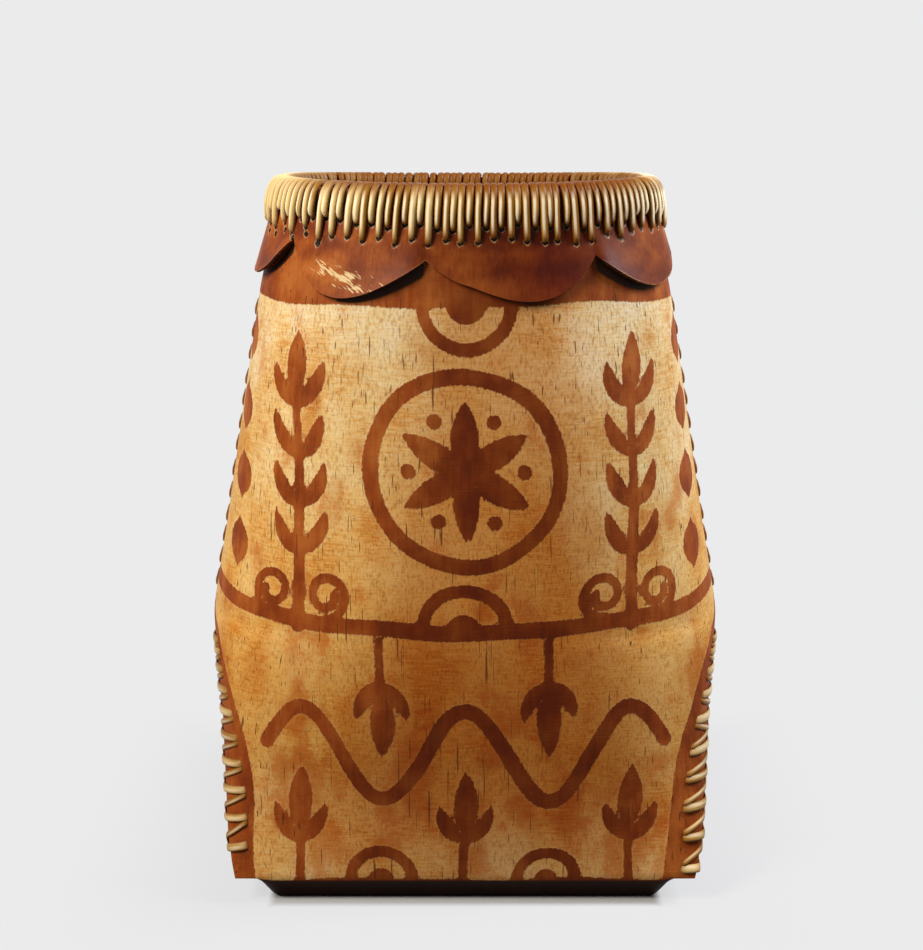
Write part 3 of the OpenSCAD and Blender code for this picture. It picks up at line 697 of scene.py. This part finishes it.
def paintedShadowField(a, z):  # over 0 in the painted shadows under the collar's lifted edges
    field = np.full(np.broadcast_shapes(a.shape, z.shape), -1.0)
    for index, begin, end, first, last in bodySheet["paintedShadows"]:
        left, right = collar["frontCusps"][index:index + 2]
        share = (a - left) / (right - left)
        width = mix(first, last, np.clip((share - begin) / (end - begin), 0, 1))
        drop = collar["front"][index][0]
        below = wallTop - scallopDrop(share, drop, *collar["frontNotches"][index:index + 2]) - z
        across = bodySheet["paintedShadowSoft"] - np.abs(2 * below / width - 1)
        along = bodySheet["paintedShadowEnds"] * np.minimum(share - begin, end - share)
        field = np.maximum(field, np.minimum(across, along))
    return np.clip(field, -1, 1)


def makeBody():
    fine = np.linspace(-90, 90, 721)
    along = rowLengths(wallPoint(fine, bodySheet["evenHeight"]))
    angles = np.interp(np.linspace(along[0], along[-1], bodySheet["columns"] + 1), along, fine)[None]
    heights = np.linspace(foldHeight, wallTop, bodySheet["wallRows"] + 1)[:, None]
    front = wallPoint(angles, heights)
    u = rowLengths(front)
    halfLength = u[:, -1:]
    z = np.broadcast_to(heights, u.shape)
    field = scrapeField(u, z, halfLength)
    wave = ripple(u, z, bodySheet["waves"])
    for distance in (halfLength - np.abs(u), bodySheet["waveTop"] - z, z - foldHeight):
        wave = wave * ease(distance / bodySheet["waveFade"])
    front = front + wallOut(angles, heights) * wave[..., None]
    x = front[:1, :, 0]
    across = np.linspace(-1, 1, bodySheet["baseRows"] + 1)[1:-1, None]
    y = -body["baseDepth"] / 2 * mix(across, np.sin(np.pi / 2 * across), bodySheet["edgeRows"])
    base = np.stack(np.broadcast_arrays(x, y, baseHeight(x, y)), -1)
    points = np.concatenate([front[::-1] * (1, -1, 1), base, front])
    folds = [bodySheet["wallRows"], bodySheet["wallRows"] + bodySheet["baseRows"]]
    for fold in folds:  # rounded over the rows next to it
        near = slice(fold - 3, fold + 4)
        points[near] = 0.5 * points[near] + 0.25 * (points[fold - 4:fold + 3] + points[fold - 2:fold + 5])
    field = np.concatenate([field[::-1], np.full(base.shape[:2], plainRind), field])
    # painted shadow under the collar's lifted edges
    paintedShadow = paintedShadowField(angles, heights)
    # painted shade on the underside, most near the fold
    raised = ease(base[..., 2] / bodySheet["edgeRise"])
    undersideShade = mix(bodySheet["baseShade"], bodySheet["edgeShade"], raised)
    dirtAndShade = np.concatenate([0 * paintedShadow, undersideShade, paintedShadow])
    dirtAndShade[folds] = bodySheet["foldShade"]
    piece = makeSheet("barkBody", points, body["thick"], (scrapedBark, paperBark, cutEdge),
                      {"scrape": field, "dirtAndShade": dirtAndShade})
    place(piece, "bark_body")


makeBody()

gore = {
    "rows": 60, "columns": 40, "tip": 1.0, "margin": 15.0,
    "bulge": 1.2, "bulgeEase": 40.0,
    "tab": 16.0, "tabInset": 10.0, "tabRows": 8, "tabGap": 0.1,  # the gap as a share of the tab
}


def makeGore(name, node, side):
    low = foldHeight + body["thick"] + layGap
    gap = body["seamGap"]
    tipShare = ((gore["tip"] + gap / 2) / (body["baseDepth"] / 2 - gap / 2)) ** (1 / body["seamArch"])
    high = mix(shoulderHeight, foldHeight, tipShare)
    heights = np.linspace(low, high, gore["rows"] + 1)[:, None]
    across = np.linspace(-1, 1, gore["columns"] + 1)[None]
    half = seamY(heights) - gap
    swell = gore["bulge"] * (1 - across ** 2) * ease((heights - low) / gore["bulgeEase"])
    wall = np.stack(np.broadcast_arrays(sideX(heights) + swell, half * across, heights), -1)
    tabShare = np.linspace(1, gore["tabGap"], gore["tabRows"])[:, None]
    tabHalf = half[0] - body["thick"] - gore["tabInset"] * tabShare
    tabX = sideX(low) - body["thick"] - gore["tab"] * tabShare
    tab = np.stack(np.broadcast_arrays(tabX, tabHalf * across, low), -1)
    points = np.concatenate([tab, wall])
    slant = (shoulderHeight - foldHeight) / math.hypot(shoulderHeight - foldHeight, body["baseDepth"] / 2)
    inward = np.minimum((half - np.abs(half * across)) * slant, heights - low) - gore["margin"]
    field = np.concatenate([np.full(tab.shape[:2], plainRind), inward])
    points[..., :2] *= side
    piece = makeSheet(name, points, body["thick"], (scrapedBark, paperBark, cutEdge), {"scrape": field})
    place(piece, node)


makeGore("goreRight", "gore_right", 1)
makeGore("goreLeft", "gore_left", -1)


print("stage 4: rim")
rim = {
    "collarThick": 1.4, "collarDrop": 59.0, "lapAngle": 15.0,
    "hoopHigh": 14.0, "hoopThick": 1.9, "scarf": 14.0, "scarfThin": 0.15,
    "endRise": 1.8,  # the rim is a little higher at its ends
    "windings": 5, "loops": 28, "rootWide": 4.3, "rootThick": 2.6,
    # awl holes in two rows, uneven by hand, some astray and lower, raised at the sides and most at the left
    "holeUpper": 5.0, "holeStep": 7.0, "uneven": 1.9, "sideRaise": 3.0, "sideFrom": 0.35, "sideReach": 0.5,
    "stray": 0.14, "strayFar": 0.42, "strayShare": 0.16, "strayDrop": 5.0,
    "leftRaise": 3.6, "sparePlace": 0.8, "spareFrom": 0.1,
    # angle from the front at which each begins, or the ends stop, and over how many degrees it does
    "leftEnd": (30, 50), "rightEnd": (50, 35), "farSide": (95, 55), "endsStop": (155, 55),
    # how pale the strands are, and painted light and shade round the rim by angle: paler towards both ends,
    # darker just right of the front
    "tones": (0.02, 0.36),
    "toneAngles": (-155, -100, -80, -60, -40, -10, 14, 28, 60, 85, 100, 155),
    "paintedLightRise": (0, 0.55, 0.55, 0.42, 0.3, 0.08, -0.22, -0.2, 0.14, 0.25, 0.25, 0),
    # painted shade along the top, lifted as painted light at the lit ends, over the outer edge, and on the
    # far side
    "topPaintedShade": 0.9, "rightLit": 0.85, "browPaintedShade": (0.4, 0.05), "farPaintedShade": 0.85,
    "onHoop": 3.0,    # how far up the hoop a strand lies flat on it
    "leftWide": 0.1,  # how much wider the strands are at the left, as a share
    "widths": (0.86, 1.07), "thicknesses": (0.94, 1.06), "leans": (0.0, 0.22),
}
collarOut = layGap + rim["collarThick"]
hoopOut = collarOut + layGap + rim["hoopThick"]
hoopLow = wallTop - rim["hoopHigh"]
rootOut = hoopOut + layGap + rim["rootThick"] / 2
rootIn = -body["thick"] - layGap - rim["hoopThick"] - layGap - rim["rootThick"] / 2
rootTop = wallTop + layGap + rim["rootThick"] / 2


def overLap(a):  # the front collar steps out over the back one at the sides
    off = np.abs(np.abs((np.asarray(a, float) + 180) % 360 - 180) - 90)
    return (rim["collarThick"] + layGap) * (1 - ease((off - rim["lapAngle"]) / rim["lapAngle"]))


ringAngles = np.linspace(-180, 180, 1441)
ringLengths = lengthsAlong(rimPoint(ringAngles, wallTop, rootIn))
loopCount = rim["windings"] * rim["loops"]
loopPitch = ringLengths[-1] / loopCount


def ringAngle(loop):
    return np.interp(np.asarray(loop) * loopPitch, ringLengths, ringAngles)


def endShare(angle, end):  # 1 at one end of the basket, 0 at the front and on the far side
    begin, reach = rim[end]
    stop, fade = rim["endsStop"]
    return float(ease((angle - begin) / reach) * ease((stop - angle) / fade))


def leftward(loop):
    return endShare(-ringAngle(loop), "leftEnd")


dice = random.Random(11)
holes, spareHoles = [], []  # place along the ring in loops, and height, of each awl hole
for k in range(loopCount):
    astray = rim["strayFar"] if dice.random() < rim["strayShare"] else rim["stray"]
    sideways = abs(math.sin(math.radians(ringAngle(k))))
    raised = rim["sideRaise"] * float(ease((sideways - rim["sideFrom"]) / rim["sideReach"]))
    raised += rim["leftRaise"] * leftward(k)
    height = hoopLow - rim["holeUpper"] - (k % 2) * rim["holeStep"] + raised
    height += dice.uniform(-rim["uneven"], rim["uneven"])
    lower = rim["strayDrop"] * (astray - rim["stray"])
    holes.append((k + 0.5 + dice.uniform(-astray, astray), height - lower))
    if k % 2 and leftward(k) > rim["spareFrom"]:  # a hole that was pierced and not used
        spareHoles.append((k + rim["sparePlace"], height - rim["leftRaise"]))


def makeCollar(name, node, which, end, lapped):
    cusps, notches = collar[which + "Cusps"], collar[which + "Notches"]
    start = cusps[0]
    columns, lifts, drops = [], [], []
    for index, (drop, leftLift, middleLift, rightLift) in enumerate(collar[which]):
        left, width = cusps[index], cusps[index + 1] - cusps[index]
        whole = min(1.0, (end - left) / width)
        count = max(collar["leastColumns"], int(collar["columnsPerScallop"] * whole))
        share = np.linspace(0, whole, count)
        slit = collar["slit"] * (1 * (share == 0) - 1 * (share == 1))
        columns.append(left + width * share + slit)
        leftCurl = leftLift * (1 - share) ** 2 * (1 - (1 - share) ** collar["curlStop"])
        rightCurl = rightLift * share ** 2 * (1 - share ** collar["curlStop"])
        lifts.append(leftCurl + rightCurl + middleLift * 4 * share * (1 - share))
        drops.append(scallopDrop(share, drop, *notches[index:index + 2]))
    a, lift, drop = (np.concatenate(rows)[None] for rows in (columns, lifts, drops))
    low = wallTop - drop
    z = mix(low, wallTop, np.linspace(0, 1, collar["rows"] + 1)[:, None])
    begin = wallTop - collar["flareStart"]
    hang = np.clip((begin - z) / (begin - low), 0, 1)
    sideways = ease(1 - collar["flareSides"] * (1 - np.abs(np.sin(np.radians(a)))))
    flare = mix(collar["flareMiddle"], collar["flareEnd"], sideways)
    off = flare * hang ** collar["flarePower"] + lift * hang ** collar["curlPower"]
    if lapped:
        off = off + overLap(a)
    u = rowLengths(rimPoint(a, z, collarOut + off))
    # awl holes under the ends of the lashing
    field = np.full(z.shape, collar["noHole"])
    for loop, height in holes + spareHoles:
        hole = float(ringAngle(loop))
        hole = hole + 360 if hole < start else hole  # the back strip's angles go on past 180
        if not start < hole < end:
            continue
        column = int(np.searchsorted(a[0], hole)) - 1
        part = (hole - a[0, column]) / (a[0, column + 1] - a[0, column])
        middle = mix(u[:, column], u[:, column + 1], part)[:, None]
        down = (z - (height - collar["holeBelow"])) / collar["holeHigh"]
        wide = collar["holeWide"] * (1 + collar["holeTaper"] * np.clip(down, -1.5, 1))
        gap = np.hypot((u - middle) / wide, down)
        field = np.minimum(field, (gap - 1) * collar["holeHigh"])
    slope = collar["holeWall"] + collar["holeBrink"]
    sunk = collar["holeDeep"] * (1 - ease((field + collar["holeWall"]) / slope))
    points = rimPoint(a, z, collarOut + off - sunk)
    along = np.radians(a - collar["flakeAngle"]) * body["mouthWidth"] / 2
    rise = z - collar["flakeHeight"] + collar["flakeSlope"] * along
    flake = 1 - np.hypot(along / collar["flakeWide"], rise / collar["flakeHigh"])
    flake = np.clip(flake, -1, 1) if lapped else np.full(z.shape, -1.0)  # only the front strip is flaked
    # painted shade, darkest a little right of the front
    middleShade = np.exp(-((a - collar["shadeAngle"]) / collar["shadeWide"]) ** 2) + 0 * z
    piece = makeSheet(name, points, rim["collarThick"], (collarBark, collarBark, cutEdge),
                      {"hole": field, "flake": flake, "brinkHighlight": z - low, "middleShade": middleShade})
    place(piece, node)


halfLap = rim["lapAngle"] / 2
makeCollar("collarFront", "collar_front", "front", 90 + halfLap, True)
makeCollar("collarBack", "collar_back", "back", 270 + halfLap, False)

# Split wood: half round, its flat side on the work, as shares of half its width and of its thickness
strand = {
    "roundSides": 8, "crown": 0.65, "sink": 0.15, "flatWide": 0.82, "flatLow": -0.5,
    "highlightSkew": 1.4,   # over 1, its crest, where the highlight is painted, lies to one side
    "girth": 8.0,  # mm round it on its map
}
turns = np.linspace(0, math.pi, strand["roundSides"])
rootSection = [(math.cos(t), strand["crown"] * math.sin(t) - strand["sink"]) for t in turns]
rootSection += [(-strand["flatWide"], strand["flatLow"]), (strand["flatWide"], strand["flatLow"])]
rootCrest = [max(0.0, math.sin(math.pi * (t / math.pi) ** strand["highlightSkew"])) for t in turns] + [0.0, 0.0]


def smoothThrough(stations, steps):  # a smooth path through the stations, one row of values each
    spots = np.asarray(stations, float)
    padded = np.concatenate([2 * spots[:1] - spots[1:2], spots, 2 * spots[-1:] - spots[-2:-1]])
    rows = []
    for i in range(len(spots) - 1):
        before, here, after, later = padded[i:i + 4]
        for t in np.linspace(0, 1, steps, endpoint=False):
            rows.append(0.5 * (2 * here + (after - before) * t
                               + (2 * before - 5 * here + 4 * after - later) * t ** 2
                               + (3 * here - before - 3 * after + later) * t ** 3))
    rows.append(spots[-1])
    return np.array(rows)


def makeRoot(name, node, path, across, wide, thick, tone, dirtAndShade, material=splitRoot, slot="split_root"):
    n, sides = len(path), len(rootSection)
    ahead = unit(np.gradient(path, axis=0))
    across = unit(across - (across * ahead).sum(1, keepdims=True) * ahead)
    out = -np.cross(ahead, across)
    section = np.array(rootSection)
    rings = (path[:, None] + across[:, None] * section[None, :, :1] * (wide / 2)[:, None, None]
             + out[:, None] * section[None, :, 1:] * thick[:, None, None])
    faces = []
    for i in range(n - 1):
        for j in range(sides):
            k = (j + 1) % sides
            faces.append((i * sides + j, i * sides + k, (i + 1) * sides + k, (i + 1) * sides + j))
    faces.append(tuple(range(sides - 1, -1, -1)))
    faces.append(tuple((n - 1) * sides + j for j in range(sides)))
    mesh = bpy.data.meshes.new(name)
    mesh.from_pydata((rings * mm).reshape(-1, 3).tolist(), [], faces)
    piece = bpy.data.objects.new(name, mesh)
    bpy.context.scene.collection.objects.link(piece)
    fillAttribute(piece, "tone", np.repeat(tone, sides))
    fillAttribute(piece, "dirtAndShade", np.repeat(dirtAndShade, sides))
    fillAttribute(piece, "crest", np.tile(rootCrest, n))
    # strand map in metres: across and along the root
    girth = np.linspace(0, strand["girth"], sides)
    flat = np.stack([np.tile(girth, n), np.repeat(lengthsAlong(path), sides)], -1) * mm
    strandMap = mesh.uv_layers.new(name="strand")
    corners = np.empty(len(mesh.loops), dtype=np.int32)
    mesh.loops.foreach_get("vertex_index", corners)
    strandMap.data.foreach_set("uv", flat[corners].astype(np.float32).ravel())
    mesh.materials.append(material)
    bpy.ops.object.select_all(action="DESELECT")
    piece.select_set(True)
    bpy.context.view_layer.objects.active = piece
    bpy.ops.object.mode_set(mode="EDIT")
    bpy.ops.mesh.select_all(action="SELECT")
    bpy.ops.mesh.normals_make_consistent(inside=False)
    bpy.ops.object.mode_set(mode="OBJECT")
    bpy.ops.object.shade_smooth_by_angle(angle=math.radians(strandCrease))
    place(piece, node)


def endRise(a, z):
    return rim["endRise"] * np.sin(np.radians(a)) ** 2 * ease((z - hoopLow) / rim["hoopHigh"])


def makeHoop(name, node, middle, joint):
    # bent once round, its two ends shaved thin to lie over each other at the joint
    a = np.linspace(joint - rim["scarf"], joint + 360 + rim["scarf"], 181)
    share = np.clip(np.minimum(a - a[0], a[-1] - a) / (2 * rim["scarf"]), rim["scarfThin"], 1)
    thick = rim["hoopThick"] * share
    shift = rim["hoopThick"] * (1 - share) / 2 * np.where(a < joint + 180, -1, 1)
    height = hoopLow + rim["hoopHigh"] / 2
    way = 1 if middle > 0 else -1
    path = rimPoint(a, height + endRise(a, height), middle + shift * way)
    across = np.broadcast_to(np.array([0, 0, float(way)]), path.shape)
    wide = np.full(len(a), rim["hoopHigh"])
    makeRoot(name, node, path, across, wide, thick, 0 * a, 0 * a, hoopWood, "hoop_wood")


makeHoop("hoopOuter", "rim_hoop_outer", hoopOut - rim["hoopThick"] / 2, 180)
makeHoop("hoopInner", "rim_hoop_inner", -body["thick"] - layGap - rim["hoopThick"] / 2, 0)


def makeRimRoot(index):
    stations = []  # loop position, height, distance out, width, thickness, tone, dirt and painted shade
    for k in range(rim["loops"]):
        loop, height = holes[(index - 1) * rim["loops"] + k]
        angle = float(ringAngle(loop))
        left = leftward(loop)
        tone = dice.uniform(*rim["tones"]) + float(np.interp(angle, rim["toneAngles"], rim["paintedLightRise"]))
        wide = rim["rootWide"] * dice.uniform(*rim["widths"]) * (1 + rim["leftWide"] * left)
        thick = rim["rootThick"] * dice.uniform(*rim["thicknesses"])
        lean = dice.uniform(*rim["leans"])
        # painted light at the ends of the basket takes the painted shade off the tops
        unshaded = max(left, rim["rightLit"] * endShare(angle, "rightEnd"))
        farFrom, farReach = rim["farSide"]
        farShade = rim["farPaintedShade"] * float(ease((abs(angle) - farFrom) / farReach))
        browShade = max(farShade, mix(*rim["browPaintedShade"], left))
        top = max(farShade, rim["topPaintedShade"] * (1 - unshaded))
        over = hoopLow + rim["onHoop"]
        slope = mix(collarOut + 1.1, rootOut - 0.4, 0.4)
        stations += [
            (loop, height, rootIn, wide * 0.85, thick, tone, 0.6),
            (loop, height, -1.0, wide * 0.6, thick * 0.8, tone, 0.95),
            (loop, height + 0.8, collarOut + 0.9, wide * 0.78, thick * 0.9, tone, 0.6),
            (loop, mix(height, over, 0.45), slope, wide * 0.9, thick, tone, 0.12),
            (loop + lean * 0.3, over, rootOut - 0.35, wide * 0.95, thick, tone, 0.0),
            (loop + lean * 0.7, hoopLow + 7.5, rootOut + 0.05, wide * 0.96, thick, tone, farShade),
            (loop + lean, wallTop - 2.2, rootOut - 0.35, wide, thick, tone, browShade),
            (loop + lean * 1.4, rootTop - 0.35, hoopOut - 1.1, wide * 1.04, thick, tone, top),
            (loop + 0.22, rootTop + 0.1, -0.9, wide * 1.06, thick, tone, top),
            (loop + 0.3, rootTop - 0.35, rootIn + 2.1, wide, thick, tone, max(farShade, 0.8)),
            (loop + 0.4, wallTop - 3.2, rootIn, wide * 0.98, thick, tone, 0.75),
            (loop + 0.55, hoopLow + 1, rootIn, wide * 0.95, thick, tone, 0.7),
        ]
    rows = smoothThrough(stations, 3)
    a = ringAngle(rows[:, 0])
    d = rows[:, 2] + overLap(a) * ease(rows[:, 2] / 3)
    path = rimPoint(a, rows[:, 1], d)
    path[:, 2] += endRise(a, rows[:, 1])
    across = unit(rimPoint(a + 0.5, wallTop, 0) - rimPoint(a - 0.5, wallTop, 0))
    makeRoot(f"rimRoot{index}", f"rim_root_{index}", path, across, *rows[:, 3:].T)


for index in range(1, rim["windings"] + 1):
    makeRimRoot(index)


print("stage 5: laced seams")
seam = {
    "loops": 13, "stitch": 7.0, "rootWide": 7.2, "rootThick": 1.7,
    "over": 0.75, "slope": 1.6, "endGap": 3.6, "inside": -4.9, "inHole": -1.0,
    "uneven": 0.08, "tones": (0, 0.3), "widths": (0.92, 1.05),
}
cornerLace = {
    "loops": 10, "top": 138.5, "spread": 1.35, "goreStitch": 9.0, "leastY": 2.2, "inGoreHole": -1.2,
    "stitchHeights": (22, 31, 48, 64, 82, 96, 112, 140),
    "wallStitch": (9, 11.2, 16, 20, 22.8, 24.4, 25, 24),  # from the wall's edge to its holes
    "rootWide": 4.6, "rootThick": 1.3, "widths": (0.92, 1.06),
    "over": 0.75, "overHole": 0.6, "overSlope": 3.0, "overGore": 0.2,  # how far off the bark it runs
    "slantWide": 0.7, "slantShift": 1.2, "slantTones": (0.1, 0.3),
    "levelLift": 0.4, "levelShift": 1.5, "levelTones": (0.3, 0.55),
    # shares of the way over the wall and over the gore, and how much darker the strand is there
    "wallDarkening": ((0.03, 0.5), (0.25, 0.28), (0.5, 0.22), (0.75, 0.28), (0.95, 0.4)),
    "goreDarkening": ((0.2, 0.3), (0.55, 0.28), (0.92, 0.5)),
}


def edgeAngle(z, distance):  # angle on the front wall at a distance from its right edge
    fine = np.linspace(90, 30, 241)
    return float(np.interp(distance, lengthsAlong(wallPoint(fine, z)), fine))


def wallSpot(z, distance, off):
    a = edgeAngle(z, distance)
    return wallPoint(a, z) + wallOut(a, z) * off


def finishSeam(name, node, rows, across, side, face):
    # laid out at the front right, and flipped to its own side and face
    flip = np.array([side, face, 1])
    path = rows[:, :3] * flip
    across = np.broadcast_to(unit(across * flip), path.shape)
    makeRoot(name, node, path, -across if side * face > 0 else across, *rows[:, 3:].T)


def makeSeamRoot(name, node, side):
    low = shoulderHeight + seam["endGap"]
    high = wallTop - rim["collarDrop"] - seam["endGap"]
    stitch, over, slope = seam["stitch"], seam["over"], seam["slope"]
    # rise, distance from the wall's edge, distance out and darkening, from the inside to near the edge
    half = [(0.0, stitch, seam["inside"], 0.9), (0.0, stitch, seam["inHole"], 0.9),
            (0.0, stitch - 0.6, 0.7, 0.8), (slope / 2, stitch * 0.45, over, 0.6)]
    stations = []
    for k in range(seam["loops"]):
        z = low + (k + 0.5 + dice.uniform(-seam["uneven"], seam["uneven"])) * (high - low) / seam["loops"]
        tone = dice.uniform(*seam["tones"])
        wide = seam["rootWide"] * dice.uniform(*seam["widths"])
        spots = [(wallSpot(z + rise, distance, off), dirtAndShade) for rise, distance, off, dirtAndShade in half]
        spots.append((np.array([float(sideX(z)) + over, 0, z + slope]), 0.6))
        for rise, distance, off, dirtAndShade in reversed(half):
            spots.append((wallSpot(z + 2 * slope - rise, distance, off) * (1, -1, 1), dirtAndShade))
        stations += [(*spot, wide, seam["rootThick"], tone, dirtAndShade) for spot, dirtAndShade in spots]
    across = np.array([body["mouthWidth"] - body["shoulderWidth"], 0, 2 * (wallTop - shoulderHeight)])
    finishSeam(name, node, smoothThrough(stations, 4), across, side, 1)


def cornerLoop(z, goreZ, lift, tone, size):  # out of the wall at height z, into the gore at goreZ
    wide = cornerLace["rootWide"] * size * dice.uniform(*cornerLace["widths"])
    over = cornerLace["over"] + lift
    stitch = float(np.interp(z, cornerLace["stitchHeights"], cornerLace["wallStitch"]))
    goreY = -max(cornerLace["leastY"], float(seamY(goreZ)) - body["seamGap"] - cornerLace["goreStitch"])
    spots = [(wallSpot(z, stitch, seam["inside"]), 0.8), (wallSpot(z, stitch, seam["inHole"]), 0.9)]
    for share, dirtAndShade in cornerLace["wallDarkening"]:
        off = min(over, cornerLace["overHole"] + cornerLace["overSlope"] * share)
        spots.append((wallSpot(mix(z, goreZ, share / 2), stitch * (1 - share), off), dirtAndShade))
    for share, dirtAndShade in cornerLace["goreDarkening"]:
        crossing = mix(z, goreZ, 0.5 + share / 2)
        depth = mix(-float(seamY(crossing)), goreY, share)
        x = float(sideX(crossing)) + over + cornerLace["overGore"]
        spots.append((np.array([x, depth, crossing]), dirtAndShade))
    for off, dirtAndShade in ((cornerLace["inGoreHole"], 0.9), (seam["inside"], 0.8)):
        spots.append((np.array([float(sideX(goreZ)) + off, goreY, goreZ]), dirtAndShade))
    return [(*spot, wide, cornerLace["rootThick"], tone, dirtAndShade) for spot, dirtAndShade in spots]


def makeCornerRoot(name, node, side, face, foot, downward, tilt):
    count = cornerLace["loops"]
    heights = mix(cornerLace["top"], foot, (np.arange(count) / (count - 1)) ** cornerLace["spread"])
    stations = []
    for k in range(count):  # down with slanted loops, to the gore hole below or above
        step, lower = (1, tilt) if k < downward else (-1, 0)
        if k + step < count:
            z = heights[k] - step * cornerLace["slantShift"]
            tone = dice.uniform(*cornerLace["slantTones"])
            stations += cornerLoop(z, heights[k + step] - lower, 0.0, tone, cornerLace["slantWide"])
    for k in reversed(range(count)):  # and back up with level loops over them
        step, lower = (1, tilt) if k < downward else (-1, 0)
        z = heights[k] + step * cornerLace["levelShift"]
        tone = dice.uniform(*cornerLace["levelTones"])
        stations += cornerLoop(z, z - lower, cornerLace["levelLift"], tone, 1)
    across = np.array([body["shoulderWidth"] - body["baseWidth"], body["baseDepth"],
                       2 * (shoulderHeight - foldHeight)])
    finishSeam(name, node, smoothThrough(stations, 3), across, side, face)


makeSeamRoot("seamRootRight", "seam_root_right", 1)
makeSeamRoot("seamRootLeft", "seam_root_left", -1)
# node, side, front or back, height of the lowest loop, loops that run down, and how much lower those end
cornerRoots = {
    "cornerRootFrontRight": ("corner_root_front_right", 1, 1, 23.0, 5, 4.0),
    "cornerRootFrontLeft": ("corner_root_front_left", -1, 1, 33.0, 10, 6.0),
    "cornerRootBackRight": ("corner_root_back_right", 1, -1, 30.0, 10, 4.0),
    "cornerRootBackLeft": ("corner_root_back_left", -1, -1, 23.0, 5, 0.0),
}
for name, values in cornerRoots.items():
    makeCornerRoot(name, *values)
